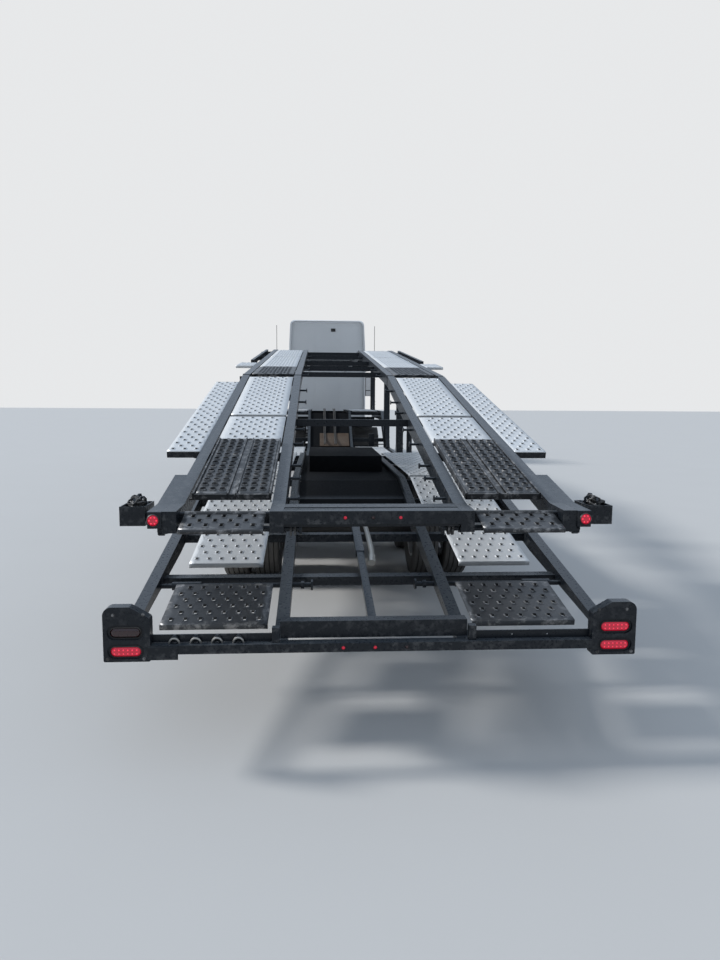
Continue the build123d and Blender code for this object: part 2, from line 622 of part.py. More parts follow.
def make_mid_deck():
    s0, s1 = KNEE[0] + HINGE_GAP / 2, CREST[0] - HINGE_GAP / 2
    line = UPPER_MID_LINE
    rails = both_sides([rail(line, s0, s1, RAIL_DEPTH, *x) for x in (OUTER_RAIL, INNER_RAIL)])
    cross = [deck_bearer(line, s) for s in MID_CROSS]
    for s in MID_RUNWAY_CROSS:
        cross += runway_bearers(line, s)
    hinges = both_sides([
        lug(KNEE_AXIS, 80, *LUG_X, False),
        rod_x(PIN_RADIUS, LUG_X[1], LUG_MATE_X[1] + 10, *KNEE_AXIS),
        lug(CREST_AXIS, -80, *LUG_MATE_X, True),
    ])
    head_s, head_z = LIFT_HEAD
    root = height_on(line, head_s) - 100
    bridge = block(OUTER_RAIL[1], LIFT_X + LIFT_CHEEK[1], head_s - 60, head_s + 60, root, root + 50)
    eyes = both_sides([bridge, *lift_cheeks(head_s, head_z, root)])
    # A light guard bar runs outside the rail along the upper half
    guards = both_sides([
        rail(line, SIDE_BAR_START, s1, 60, *SIDE_BAR_X),
        *[block(OUTER_RAIL[1], SIDE_BAR_X[1], s, s + 60, height_on(line, s) - 90, height_on(line, s) - 45)
          for s in (SIDE_BAR_START + 50, 8900)],
    ])
    # Square pin sockets outside the rail by the knee hold the rear section level
    sockets = both_sides([
        block(OUTER_RAIL[1], OUTER_RAIL[1] + 55, s, s + 70, height_on(line, s) - 105, height_on(line, s) - 35)
        - rod_y(18, OUTER_RAIL[1] + 28, s - 10, s + 90, height_on(line, s) - 68)
        for s in (4300, 4620)
    ])
    pins = both_sides([t_pin(INNER_RAIL[0], s, height_on(line, s) - 55) for s in (4700, 5500, 7100, 8200)])
    keep("mid_deck_frame", [fused([*rails, *cross, *hinges, *eyes, *guards, *sockets, *pins])])
    plates = [laid(grip_plate(*PLATE_X, length, rows, 2, 24), line, s, -2) for s, length, rows in MID_PLATES]
    step_s, step_length = STEP_PLATE
    step = laid(grip_plate(OUTER_RAIL[1] + 6, WALK_EDGE, step_length, 3, 2, 22), line, step_s, -2)
    keep("mid_deck_plates", both_sides([*plates, step]))


# Rear section of the upper deck
WALK_PLATE = (1385, 2400)
RAMP = {"x": (530, 950), "start": 480, "length": 1120, "rows": 12, "rise": 30}
# Tail flaps hang from the rear section's end and lift up and forward
FLAP_AXIS = (300, 1170)
FLAP_LENGTH = 205
FLAP_DROP = 14
FLAP_X = (545, 955)
FLAP_PIN = 10
CHAIN_BOX = {"x": (1165, HALF_WIDTH), "s": (340, 550), "z": (1100, 1200), "wall": 6}
# Chain links standing in a box: place across, place along, height of the centre, turn about the upright axis
CHAIN_LINKS = ((1195, 375, 1150, 20), (1232, 400, 1168, 75), (1200, 440, 1172, 140), (1252, 445, 1150, 10),
               (1225, 480, 1176, 100), (1196, 512, 1152, 50), (1258, 515, 1160, 120))


def chain_link(length, width, bar):
    """An upright eight-sided link with its long way up."""
    def ring(l, w):
        c = w * 0.3
        return Polyline((-w / 2 + c, l / 2), (w / 2 - c, l / 2), (w / 2, l / 2 - c), (w / 2, -l / 2 + c),
                        (w / 2 - c, -l / 2), (-w / 2 + c, -l / 2), (-w / 2, -l / 2 + c), (-w / 2, l / 2 - c),
                        close=True)
    face = make_face(ring(length, width)) - make_face(ring(length - 2 * bar, width - 2 * bar))
    return extrude(Plane.XZ * face, bar / 2, both=True)


def chain_box():
    """An open-topped box at the deck's corner with its chain standing in it, and the arm that carries it."""
    (x0, x1), (s0, s1), (z0, z1), wall = CHAIN_BOX["x"], CHAIN_BOX["s"], CHAIN_BOX["z"], CHAIN_BOX["wall"]
    box = block(x0, x1, s0, s1, z0, z1) - block(x0 + wall, x1 - wall, s0 + wall, s1 - wall, z0 + wall, z1 + 10)
    arm = block(OUTER_RAIL[1] + 60, x0, s0 + 50, s1 - 50, 1118, 1160)
    links = [Pos(x, station(s), z) * Rot(0, 0, turn) * chain_link(2 * (z - z0 - wall) + 8, 44, 11)
             for x, s, z, turn in CHAIN_LINKS]
    return [box, arm, *links]


def loading_ramp():
    """Two perforated strips side by side with a raised edge along each and a closed lip at both ends."""
    (x0, x1), length, rows = RAMP["x"], RAMP["length"], RAMP["rows"]
    middle = (x0 + x1) / 2
    strips = [grip_plate(a, b, length, rows, 3, 22, sides=4, stagger=0) for a, b in ((x0, middle), (middle, x1))]
    edges = [Pos(x, length / 2, -8) * Box(10, length, 32) for x in (x0 + 5, middle, x1 - 5)]
    ends = [Pos(middle, y, -14) * Box(x1 - x0, 14, 28) for y in (7, length - 7)]
    return fused([*strips, *edges, *ends])


def make_rear_deck():
    line = UPPER_REAR_LINE
    s1 = KNEE[0] - HINGE_GAP / 2
    rails = both_sides([rail(line, DECK_TAIL[0], s1, RAIL_DEPTH, *x) for x in (OUTER_RAIL, INNER_RAIL)])
    # Two square tubes side by side with a groove between them, joined from below
    tail_beam = [block(-INNER_RAIL[0], INNER_RAIL[0], 200, 310, 1130, 1197),
                 block(-INNER_RAIL[0], INNER_RAIL[0], 314, 430, 1130, 1200),
                 block(-INNER_RAIL[0], INNER_RAIL[0], 230, 400, 1112, 1130)]
    cross = [deck_bearer(line, s) for s in REAR_CROSS]
    for s in REAR_RUNWAY_CROSS:
        cross += runway_bearers(line, s)
    lugs = both_sides([lug(KNEE_AXIS, -80, *LUG_MATE_X, True)])
    corner = [(190, 1112, 6), (190, 1197, 6), (430, 1203), (900, height_on(line, 900)),
              (900, height_on(line, 900) - 90), (430, 1112)]
    corner_blocks = both_sides([side_shape(corner, OUTER_RAIL[1], OUTER_RAIL[1] + 70)])
    stubs = both_sides([rod_x(FLAP_PIN, INNER_RAIL[1], FLAP_X[0] + 15, *FLAP_AXIS),
                        rod_x(FLAP_PIN, FLAP_X[1] - 15, OUTER_RAIL[0], *FLAP_AXIS)])
    hooks = both_sides([tail_winch()])
    pins = both_sides([t_pin(INNER_RAIL[0], s, height_on(line, s) - 55)
                       for s in (650, 1000, 1250, 1750, 2150, 2700, 3100, 3600)])
    walk_s, walk_length = WALK_PLATE
    brackets = both_sides([
        front_shape([(OUTER_RAIL[1], z - 100), (WALK_EDGE - 20, z - 46), (WALK_EDGE - 20, z - 38),
                     (OUTER_RAIL[1], z - 38)], s, s + 8)
        for s in range(walk_s + 120, walk_s + walk_length, 720) for z in [height_on(line, s)]
    ])
    keep("rear_deck_frame", [fused([*rails, *tail_beam, *cross, *lugs, *corner_blocks, *both_sides(chain_box()),
                                    *stubs, *hooks, *pins, *brackets])])
    plates = [laid(grip_plate(*PLATE_X, length, rows, 3, 24), line, s, -2) for s, length, rows in REAR_PLATES]
    walk = laid(grip_plate(OUTER_RAIL[1] + 2, WALK_EDGE, walk_length, 11, 2, 22), line, walk_s, -2)
    keep("rear_deck_plates", both_sides([*plates, walk]))
    keep("loading_ramps", both_sides([laid(loading_ramp(), line, RAMP["start"], RAMP["rise"])]))
    lamps = both_sides([rod_y(32, 1090, 176, 190, 1155)])
    markers = [rod_y(MARKER_RADIUS, x, 195, 200, 1164) for x in (-140, 0, 140)]
    keep("rear_deck_lamps", [*lamps, *markers])


def tail_winch():
    """The ratchet bar under the deck's end on the right: its shaft, heads and the tabs that hang it from the rails."""
    s, z = 262, 1098
    tabs = [side_shape([(s - 24, z - 24, 20), (s + 24, z - 24, 20), (s + 30, 1140), (s - 30, 1140)], x0, x1)
            for x0, x1 in ((INNER_RAIL[0], INNER_RAIL[0] + 14), (OUTER_RAIL[1] - 14, OUTER_RAIL[1]))]
    shaft = rod_x(SHAFT_RADIUS, 372, OUTER_RAIL[1] + 20, s, z)
    heads = [stud_x(HEAD_RADIUS, 360, 372, s, z), stud_x(HEAD_RADIUS, OUTER_RAIL[1], OUTER_RAIL[1] + 30, s, z)]
    return fused([*tabs, shaft, *heads])


def make_flaps():
    middle, width = (FLAP_X[0] + FLAP_X[1]) / 2, FLAP_X[1] - FLAP_X[0]
    plate = Pos(0, -FLAP_LENGTH, 3) * grip_plate(*FLAP_X, FLAP_LENGTH - 12, 2, 5, 17, sides=6, lip=0)
    edge = Pos(middle, -FLAP_LENGTH, -8) * Rot(0, 90, 0) * Cylinder(12, width)
    tube = Pos(middle, 0, 0) * Rot(0, 90, 0) * Cylinder(16, width)
    bore = Pos(middle, 0, 0) * Rot(0, 90, 0) * Cylinder(FLAP_PIN + 0.3, width + 10)
    flap = Pos(0, station(FLAP_AXIS[0]), FLAP_AXIS[1]) * Rot(FLAP_DROP, 0, 0) * (fused([plate, edge, tube]) - bore)
    for label, side in SIDES:
        keep(f"tail_flap_{label}", [on_side(flap, side)])


# Deck lift cylinders, made upright at the origin and then leaned from the base pin to the head pin
BARREL = {"outer": 45, "bore": 38, "bottom": 50, "top": 960}
ROD_RADIUS = 24


def make_lifts():
    run, climb = LIFT_HEAD[0] - LIFT_BASE[0], LIFT_HEAD[1] - LIFT_BASE[1]
    span = math.hypot(run, climb)
    tilt = -math.degrees(math.atan2(run, climb))
    length = BARREL["top"] - BARREL["bottom"]
    tube = Pos(0, 0, BARREL["bottom"] + length / 2) * Cylinder(BARREL["outer"], length)
    gland = Pos(0, 0, BARREL["top"] - 30) * Cylinder(BARREL["outer"] + 9, 60)
    port = Pos(0, -BARREL["outer"], 120) * Box(34, 40, 34)
    hollow = Pos(0, 0, BARREL["top"]) * Cylinder(BARREL["bore"], 2 * (length - 30))
    eye = Rot(0, 90, 0) * Cylinder(32, 40) + Pos(0, 0, 40) * Box(30, 40, 40)
    pin_hole = Rot(0, 90, 0) * Cylinder(LIFT_PIN + 0.3, 60)
    barrel = fused([tube, gland, port, eye]) - [hollow, pin_hole]
    piston_z = BARREL["bottom"] + 100
    rod = Pos(0, 0, (piston_z + span - 20) / 2) * Cylinder(ROD_RADIUS, span - 20 - piston_z)
    piston = Pos(0, 0, piston_z) * Cylinder(BARREL["bore"] - 0.4, 50)
    head = Pos(0, 0, span) * (Rot(0, 90, 0) * Cylinder(LIFT_EYE["outer"], 36))
    eye_hole = Pos(0, 0, span) * (Rot(0, 90, 0) * Cylinder(LIFT_EYE["hole"], 60))
    ram = fused([rod, piston, head]) - eye_hole
    places = [Pos(x, station(LIFT_BASE[0]), LIFT_BASE[1]) * Rot(tilt, 0, 0) for x in (-LIFT_X, LIFT_X)]
    keep("lift_barrels", [place * barrel for place in places])
    keep("lift_rods", [place * ram for place in places])


# Tractor
CHANNEL_THICK = 10


def make_tractor_frame():
    inner, outer = FRAME_RAIL_X
    top, bottom, t = FRAME_TOP, FRAME_TOP - FRAME_DEPTH, CHANNEL_THICK
    channel = [(inner, top), (outer, top), (outer, bottom), (inner, bottom), (inner, bottom + t),
               (outer - t, bottom + t), (outer - t, top - t), (inner, top - t)]
    rails = both_sides([front_shape(channel, *FRAME_ENDS)])
    cross = [block(-outer + t, outer - t, s, s + 80, top - 200, top - 60)
             for s in (14000, 15210, 16700, 18300, 19900, 22050)]
    # The closing member at the back carries the tow loops
    s0 = FRAME_ENDS[0]
    closing = block(-outer, outer, s0 - 20, s0 + 2, bottom + 20, top - 20)
    loops = [Pos(x, station(s0 - 55), bottom + 90) * Rot(0, 90, 0) * (Cylinder(45, 20) - Cylinder(24, 30))
             for x in (-250, 250)]
    keep("tractor_frame", [fused([*rails, *cross, closing, *loops])])


def make_fifth_wheel():
    """The tilted-horn coupling plate, its throat open to the rear, on a saddle across the frame rails."""
    half = ((460, 15520, 40), (460, 14990, 40), (150, 14860, 30), (62, 15230))
    plate = plan_shape([(x, s, *r) for x, s, *r in half] + [(-x, s, *r) for x, s, *r in reversed(half)]
                       + [(-300, 15620, 90), (300, 15620, 90)], COUPLER_HEIGHT - 50, COUPLER_HEIGHT)
    throat = rod_z(37, 0, KINGPIN, COUPLER_HEIGHT - 120, COUPLER_HEIGHT + 5)
    saddle = both_sides([
        side_shape([(15080, FRAME_TOP), (15420, FRAME_TOP), (15320, COUPLER_HEIGHT - 50),
                    (15180, COUPLER_HEIGHT - 50)], 300, 420),
        block(300, 440, 14900, 15600, FRAME_TOP, FRAME_TOP + 16),
    ])
    keep("fifth_wheel", [fused([plate - throat, *saddle])])


BELLOWS_RADIUS = 122
# Kingpins: their place across, the radius of their eyes and forks, and the eye's foot and top from the wheel's centre
KNUCKLE_X = 870
KING_RADIUS = 42
KING_EYE = (-60, 40)


def make_tractor_axles():
    z = TRACTOR_TYRE["radius"]
    frame_bottom = FRAME_TOP - FRAME_DEPTH
    mid_x = sum(FRAME_RAIL_X) / 2
    inner_end = sum(DRIVE_TYRE_X) / 2 - 45
    shapes = []
    for s in DRIVE_AXLES:
        beam = rod_x(70, -inner_end, inner_end, s, z)
        bowl = Pos(0, station(s), z) * Rot(90, 0, 0) * (Cylinder(190, 150) + Cylinder(130, 300))
        shaft = rod_y(55, 0, s, s + 420, z + 60)
        suspension = both_sides([
            strut(*FRAME_RAIL_X, (s - 420, z - 60), (s + 380, z + 100), 46),
            rod_z(BELLOWS_RADIUS, mid_x, s - 400, z - 60, frame_bottom),
            hanger(s + 380, 80, z + 70, frame_bottom, *FRAME_RAIL_X),
            block(*FRAME_RAIL_X, s - 75, s + 75, z - 30, z + 90),
        ])
        shapes.append(fused([beam, bowl, shaft, *suspension]))
    # The front beam drops between its ends, where an eye takes each kingpin
    eye_low, eye_high = KING_EYE
    beam_rows = mirrored(((580, z - 110, 60), (760, z + eye_low, 30), (850, z + eye_low), (850, z + eye_high),
                          (790, z + eye_high, 30), (600, z - 40, 60)))
    beam = fused([front_shape(beam_rows, STEER_AXLE - 40, STEER_AXLE + 40),
                  *both_sides([rod_z(KING_RADIUS, KNUCKLE_X, STEER_AXLE, z + eye_low, z + eye_high)])])
    springs = both_sides([
        leaf_spring(STEER_AXLE, 600, 690, 650, 36, *FRAME_RAIL_X),
        block(*FRAME_RAIL_X, STEER_AXLE - 60, STEER_AXLE + 60, z - 70, 620),
        *[hanger(STEER_AXLE + side * 570, 60, 660, frame_bottom, *FRAME_RAIL_X) for side in (-1, 1)],
    ])
    shapes.append(fused([beam, *springs]))
    keep("tractor_axles", shapes)


def make_knuckles():
    """Forks that straddle the beam's eyes, each with its spindle and its steering arm."""
    z, s = TRACTOR_TYRE["radius"], STEER_AXLE
    eye_low, eye_high = KING_EYE
    lug_heights = ((z + eye_low - 40, z + eye_low - 6), (z + eye_high + 6, z + eye_high + 40))
    lugs = [rod_z(KING_RADIUS, KNUCKLE_X, s, z0, z1) for z0, z1 in lug_heights]
    links = [block(KNUCKLE_X + 10, KNUCKLE_X + 75, s - 30, s + 30, z0, z1) for z0, z1 in lug_heights]
    bar = block(KNUCKLE_X + KING_RADIUS + 6, KNUCKLE_X + 75, s - 38, s + 38, lug_heights[0][0], lug_heights[1][1])
    spindle = Pos(0, station(s), z) * turned([(KNUCKLE_X + 70, 52), (KNUCKLE_X + 100, 46), (STEER_TYRE_X + 38, 38)])
    arm = plan_shape([(KNUCKLE_X - 14, s - 20), (KNUCKLE_X + 14, s - 20), (840, s - 230, 18), (800, s - 230, 18)],
                     lug_heights[0][0], lug_heights[0][0] + 20)
    for label, side in SIDES:
        keep(f"knuckle_{label}", [on_side(fused([*lugs, *links, bar, spindle, arm]), side)])


# The cab and sleeper's outer form is where three rounded outlines meet: from the side, from the front and from above
CAB_FROM_SIDE = ((17400, 1150, 60), (17400, 4060, 150), (18750, 4060, 900), (19720, 3580, 500), (20130, 2880, 120),
                 (20900, 1960, 60), (20985, 1900, 40), (20985, 1150, 60))
CAB_FROM_FRONT = mirrored(((SLEEPER_SIDE + 8, 1140, 70), (SLEEPER_SIDE + 8, 2780, 500), (1062, 4075, 180)))
CAB_FROM_ABOVE = mirrored(((SLEEPER_SIDE, 17390, 60), (SLEEPER_SIDE, 19290, 80), (CAB_SIDE, 19390, 80),
                           (CAB_SIDE, 20680, 420), (900, 21010, 160)))
# The roof fairing narrows forward above the doors
FAIRING_FROM_ABOVE = mirrored(((SLEEPER_SIDE + 5, 17380), (SLEEPER_SIDE + 5, 18600, 1600), (985, 20400, 160)))
FAIRING_BOTTOM = 2790
WINDSCREEN = mirrored(((870, 2040, 90), (800, 2740, 90)))
SLEEPER_WINDOW = ((18350, 2350, 80), (18950, 2350, 80), (18950, 2700, 80), (18350, 2700, 80))
DOOR = ((19640, 1230, 60), (19640, 2720, 90), (20230, 2720, 110), (20640, 2100, 60), (20640, 1230, 60))
DOOR_WINDOW = ((19745, 1990, 50), (19745, 2630, 60), (20175, 2630, 80), (20545, 2075, 40), (20545, 1990, 40))
DOOR_GAP = 8
REAR_EDGE = 45
GLASS = (18, 26)


def cab_form(shrink):
    """The cab and sleeper's outer form, or the form inside it by the given amount."""
    form = side_shape(CAB_FROM_SIDE, -SLEEPER_SIDE - 10, SLEEPER_SIDE + 10, shrink)
    form &= plan_shape(CAB_FROM_ABOVE, 1000, 4200, shrink)
    form &= front_shape(CAB_FROM_FRONT, 17300, 21200, shrink)
    fairing = plan_shape(FAIRING_FROM_ABOVE, FAIRING_BOTTOM - shrink - 1, 4200, shrink)
    below = block(-1300, 1300, 17300, 21200, 1000, FAIRING_BOTTOM - shrink)
    return form & (fairing + below)


def make_cab():
    outer = cab_form(0)
    # The rear wall stands back from the skin's edge, which shields it like a shallow frame
    wall = block(-1300, 1300, SLEEPER_WALL, SLEEPER_WALL + WALL, 1000, 4200)
    recess = front_shape(CAB_FROM_FRONT, 17300, SLEEPER_WALL, REAR_EDGE)
    shell = outer - [cab_form(WALL) - wall, recess]
    door_holes = side_shape(DOOR, -1300, 1300, -DOOR_GAP)
    windscreen = front_shape(WINDSCREEN, 20100, 21200)
    windows = both_sides([side_shape(SLEEPER_WINDOW, 1040, 1200)])
    shell = shell - [door_holes, windscreen, *windows]
    front_half = block(-1300, 1300, CAB_BACK + 1, 21200, 1000, 4200)
    rear_half = block(-1300, 1300, 17300, CAB_BACK, 1000, 4200)
    keep("cab_shell", [shell & front_half])
    keep("sleeper_shell", [shell & rear_half])
    glass_zone = cab_form(GLASS[0]) - cab_form(GLASS[1])
    keep("cab_glass", [glass_zone & window for window in (windscreen, *windows)])
    window = side_shape(DOOR_WINDOW, CAB_SIDE - 200, CAB_SIDE + 200)
    handle_recess = side_shape([(19720, 1800, 20), (19720, 1880, 20), (19880, 1880, 20), (19880, 1800, 20)],
                               CAB_SIDE - 16, CAB_SIDE + 5)
    handle = side_shape([(19730, 1846, 8), (19730, 1868, 8), (19870, 1868, 8), (19870, 1846, 8)],
                        CAB_SIDE - 20, CAB_SIDE - 2)
    frame = side_shape(DOOR, CAB_SIDE - WALL, CAB_SIDE) - [window, handle_recess] + handle
    pane = side_shape(DOOR_WINDOW, CAB_SIDE - GLASS[1], CAB_SIDE - GLASS[0])
    for label, side in SIDES:
        keep(f"door_{label}", [on_side(frame, side)])
        keep(f"door_glass_{label}", [on_side(pane, side)])


SEAT_X = 540
# A seat from the side: the cushion, the raked back and the headrest in one outline
SEAT = ((19760, 1520, 40), (19760, 1640, 30), (19690, 2200, 60), (19700, 2420, 50), (19800, 2420, 50),
        (19870, 1690, 60), (20290, 1700, 60), (20300, 1560, 40))


def make_interior():
    shapes = []
    for x in (-SEAT_X, SEAT_X):
        cushion = side_shape(SEAT, x - 255, x + 255)
        pedestal = side_shape([(19800, CAB_FLOOR), (20200, CAB_FLOOR), (20150, 1560), (19850, 1560)],
                              x - 160, x + 160)
        shapes.append(fused([cushion, pedestal]))
    dash = side_shape([(20560, 1500, 60), (20520, 1820, 60), (20600, 1910, 60), (20870, 1880), (20890, 1850),
                       (20890, 1400), (20800, 1400, 60)], -870, 870)
    wheel_tilt = Pos(-SEAT_X, station(20420), 1780) * Rot(-62, 0, 0)
    wheel = wheel_tilt * (Torus(215, 15) + Cylinder(50, 24) + [Rot(0, 0, turn) * Pos(110, 0, 0) * Box(210, 26, 12)
                                                               for turn in (90, 210, 330)])
    column = wheel_tilt * Pos(0, 0, 110) * Cylinder(28, 220)
    shapes.append(fused([dash, wheel, column]))
    bunk_base = block(-1050, 1050, 17560, 18450, CAB_FLOOR, 1560)
    mattress = side_shape([(17560, 1560, 20), (17560, 1740, 60), (18480, 1740, 60), (18480, 1560, 60)], -1050, 1050)
    shapes.append(fused([bunk_base, mattress]))
    keep("cab_interior", shapes)


# Hood: a lofted nose between two fenders. Sections of the nose: station, half width, height, corner radius
HOOD_BACK = 20995
NOSE_SECTIONS = ((HOOD_BACK, 730, 1905, 260), (21700, 695, 1840, 240), (22240, 600, 1650, 200),
                 (22440, 520, 1400, 150))
NOSE_BOTTOM = 760
HOOD_WALL = 40
# A fender's top and front from the side, back to front; its bottom is added below
FENDER_TOP = ((HOOD_BACK, 1330, 60), (21880, 1330, 380), (22360, 1140, 260))
FENDER_FOOT = (22390, 790)
FENDER_X = (560, 1215)
FENDER_WALL = 45
FENDER_EDGE = 90
# Behind the arch a narrow skirt reaches back outside the cab, below the door
SKIRT = ((20660, 790, 30), (20660, 1215, 160), (20990, 1325), (21010, 1325), (21010, 790))
SKIRT_X = (CAB_SIDE + 12, 1215)
ARCH_RADIUS = 640
FENDER_FROM_ABOVE = mirrored(((1230, 20600), (1230, 21950, 700), (930, 22500, 250)))
GRILLE = mirrored(((430, 850, 60), (465, 1340, 90)))
HEADLAMP = ((690, 1000, 30), (930, 1010, 40), (1040, 1090, 40), (1010, 1200, 60), (720, 1180, 60))


def nose(shrink):
    """The nose's outer form, or the form inside it, which is open at the back and below and closed in front."""
    sections = []
    for s, half, top, corner in NOSE_SECTIONS:
        rows = mirrored(((half - shrink, NOSE_BOTTOM), (half - shrink, top - shrink, corner - shrink)))
        front = NOSE_SECTIONS[-1][0]
        plane = Plane(origin=(0, station(s - shrink if s == front else s), 0), x_dir=(1, 0, 0), z_dir=(0, -1, 0))
        sections.append(plane * flat(rows))
    return loft(sections)


def fender(shrink):
    """The right fender's outer form, or the form inside it, which is open below."""
    x0, x1 = FENDER_X
    foot_s, foot_z = FENDER_FOOT
    foot = foot_z - 2 * shrink
    body = side_shape([(HOOD_BACK, foot), *FENDER_TOP, (foot_s, foot)], x0, x1 - shrink, shrink)
    if not shrink:
        outer_edges = [e for e in body.edges()
                       if e.center().X > x1 - 1 and e.center().Z > 850 and e.center().Y > station(HOOD_BACK) + 1]
        body = fillet(outer_edges, FENDER_EDGE)
    return body & plan_shape(FENDER_FROM_ABOVE, 600, 2100, shrink)


def make_hood():
    wheel = (STEER_AXLE, TRACTOR_TYRE["radius"])
    outer = fender(0)
    cavity = fender(FENDER_WALL) - rod_x(ARCH_RADIUS + HOOD_WALL, 540, 1300, *wheel)
    arch = rod_x(ARCH_RADIUS, 545, 1300, *wheel)
    lamp_zone = front_shape(HEADLAMP, 21700, 22600)
    lamp = lamp_zone & (fender(3) - fender(FENDER_WALL - 5))
    hollow = nose(HOOD_WALL)
    shell = nose(0) + both_sides([outer, side_shape(SKIRT, *SKIRT_X)])
    shell = shell - [hollow, *both_sides([cavity, arch, lamp_zone & outer]), front_shape(GRILLE, 22150, 22600)]
    keep("hood_shell", [shell])
    keep("headlamps", both_sides([lamp]))
    keep("grille", [grille()])


def grille():
    """A rounded frame with tilted bars across it and a post in the middle."""
    frame = front_shape(GRILLE, 22385, 22410, 3) - front_shape(GRILLE, 22380, 22420, 30)
    window = front_shape(GRILLE, 22300, 22500, 20)
    bars = [Pos(0, station(22392), z) * Rot(28, 0, 0) * Box(980, 44, 8) for z in range(900, 1330, 52)]
    post = block(-12, 12, 22380, 22406, 856, 1334)
    return fused([frame, *[bar & window for bar in bars], post])


# Bumper from above: the outer line, rounded at the corners
BUMPER = mirrored(((1215, 21905), (1215, 22180, 260), (820, 22460, 500), (430, 22500, 800)))
BUMPER_Z = (350, 740)
BUMPER_THICK = 50
FOG_LAMP = (880, 500, 60)
TOW_EYE = {"x": (385, 411), "s": 22400, "z": 312, "hole": 22}


def make_bumper():
    ring = plan_shape(BUMPER, *BUMPER_Z) - plan_shape(BUMPER, BUMPER_Z[0] - 1, BUMPER_Z[1] + 1, BUMPER_THICK)
    open_back = block(-1215 + BUMPER_THICK, 1215 - BUMPER_THICK, 21800, 22000, 300, 800)
    intake = front_shape(mirrored(((420, 430, 30), (440, 560, 30))), 22300, 22600)
    fog_x, fog_z, fog_r = FOG_LAMP
    fog_holes = both_sides([rod_y(fog_r, fog_x, 22200, 22560, fog_z)])
    mounts = both_sides([block(*FRAME_RAIL_X, 22151, 22455, 590, 700)])
    eye_s, eye_z = TOW_EYE["s"], TOW_EYE["z"]
    eyes = both_sides([
        side_shape([(eye_s - 60, 600), (eye_s + 50, 600), (eye_s + 50, eye_z - 45, 40), (eye_s - 45, eye_z - 45, 40)],
                   *TOW_EYE["x"]) - rod_x(TOW_EYE["hole"], 300, 500, eye_s, eye_z)
    ])
    keep("front_bumper", [fused([ring - [open_back, intake, *fog_holes], *mounts, *eyes])])


TANK = {"x": 830, "radius": 310, "s": (17560, 19060), "z": 740}
STEP_ROWS = ((600, 430, 20), (1110, 430, 15), (1110, 500, 10), (1050, 512), (1050, 780, 10), (985, 792), (985, 940),
             (600, 940))


def make_tanks():
    s0, s1 = TANK["s"]
    tank = rod_y(TANK["radius"], TANK["x"], s0, s1, TANK["z"])
    tank = chamfer(tank.edges(), 26, 60)
    straps = [rod_y(TANK["radius"] + 6, TANK["x"], s, s + 60, TANK["z"]) for s in (s0 + 260, s1 - 320)]
    brackets = [block(FRAME_RAIL_X[1] + 0.5, TANK["x"] - 150, s, s + 60, 790, 1000)
                for s in (s0 + 260, s1 - 320)]
    steps = front_shape(STEP_ROWS, 19480, 20460)
    step_arm = [block(FRAME_RAIL_X[1] + 0.5, 640, s, s + 70, 800, 900) for s in (19560, 20300)]
    treads = [block(1052, 1108, s, s + 90, 500, 508) for s in range(19560, 20400, 140)]
    keep("tanks_and_steps", both_sides([fused([tank, *straps, *brackets]), fused([steps, *step_arm, *treads])]))


def make_engine():
    engine = block(-330, 330, 21000, 22030, 790, 1600)
    radiator = block(-500, 500, 22165, 22225, 860, 1480)
    keep("engine_block", [engine, radiator])


def make_mirrors():
    head = plan_shape([(1335, 20800, 20), (1595, 20800, 20), (1580, 20900, 60), (1350, 20900, 60)], 1900, 2600)
    head = fillet([e for e in head.edges() if abs(e.center().Z - 2600) < 1], 18)
    arms = [block(1000, 1460, 20800, 20830, z, z + 30) for z in (1990, 2420)]
    whip = rod_z(8, 1652, 20840, 2600, 4250)
    foot = block(1570, 1662, 20825, 20855, 2560, 2600)
    body = fused([head, *arms, foot, whip]) - cab_form(0)
    pillar = block(1000, 1042, 20780, 20850, 1980, 2460) - cab_form(0)
    keep("mirrors", both_sides([fused([body, pillar])]))


FENDER_ARC = {"radius": 560, "thick": 6, "x": (600, 1230)}
# A fender's pipe: its radius, and how far its middle is inside the sheet's inner face
FENDER_PIPE = (16, 13)


def make_drive_fenders():
    """A quarter fender over the back of the last wheels and one ahead of the first, each on a pipe, and the mud flaps."""
    r, t = FENDER_ARC["radius"], FENDER_ARC["thick"]
    x0, x1 = FENDER_ARC["x"]
    shapes = []
    for s, start, turn in ((DRIVE_AXLES[0], 92, 78), (DRIVE_AXLES[1], 10, 78)):
        centre = (station(s), TRACTOR_TYRE["radius"])
        outline = (CenterArc(centre, r, start, turn), CenterArc(centre, r + t, start, turn))
        ends = [Line(outline[0] @ k, outline[1] @ k) for k in (0, 1)]
        sheet = extrude(Plane.YZ.offset(x0) * make_face(outline[0] + ends[0] + outline[1] + ends[1]), x1 - x0,
                        dir=(1, 0, 0))
        angle = math.radians(start + turn / 2)
        pipe_radius, seat = FENDER_PIPE
        pipe_s = s + (r - seat) * math.cos(angle)
        pipe_z = TRACTOR_TYRE["radius"] + (r - seat) * math.sin(angle)
        pipe = rod_x(pipe_radius, FRAME_RAIL_X[1] + 0.5, x1 - 60, pipe_s, pipe_z)
        shapes.append(fused([sheet, pipe]))
    flap_s = DRIVE_AXLES[0] - r - 40
    flap = block(x0 + 10, x1 - 10, flap_s, flap_s + 8, 280, 900)
    arm = block(FRAME_RAIL_X[1] + 0.5, x1 - 10, flap_s + 8, flap_s + 38, 870, 910)
    shapes.append(fused([flap, arm]))
    keep("drive_fenders", both_sides(shapes))


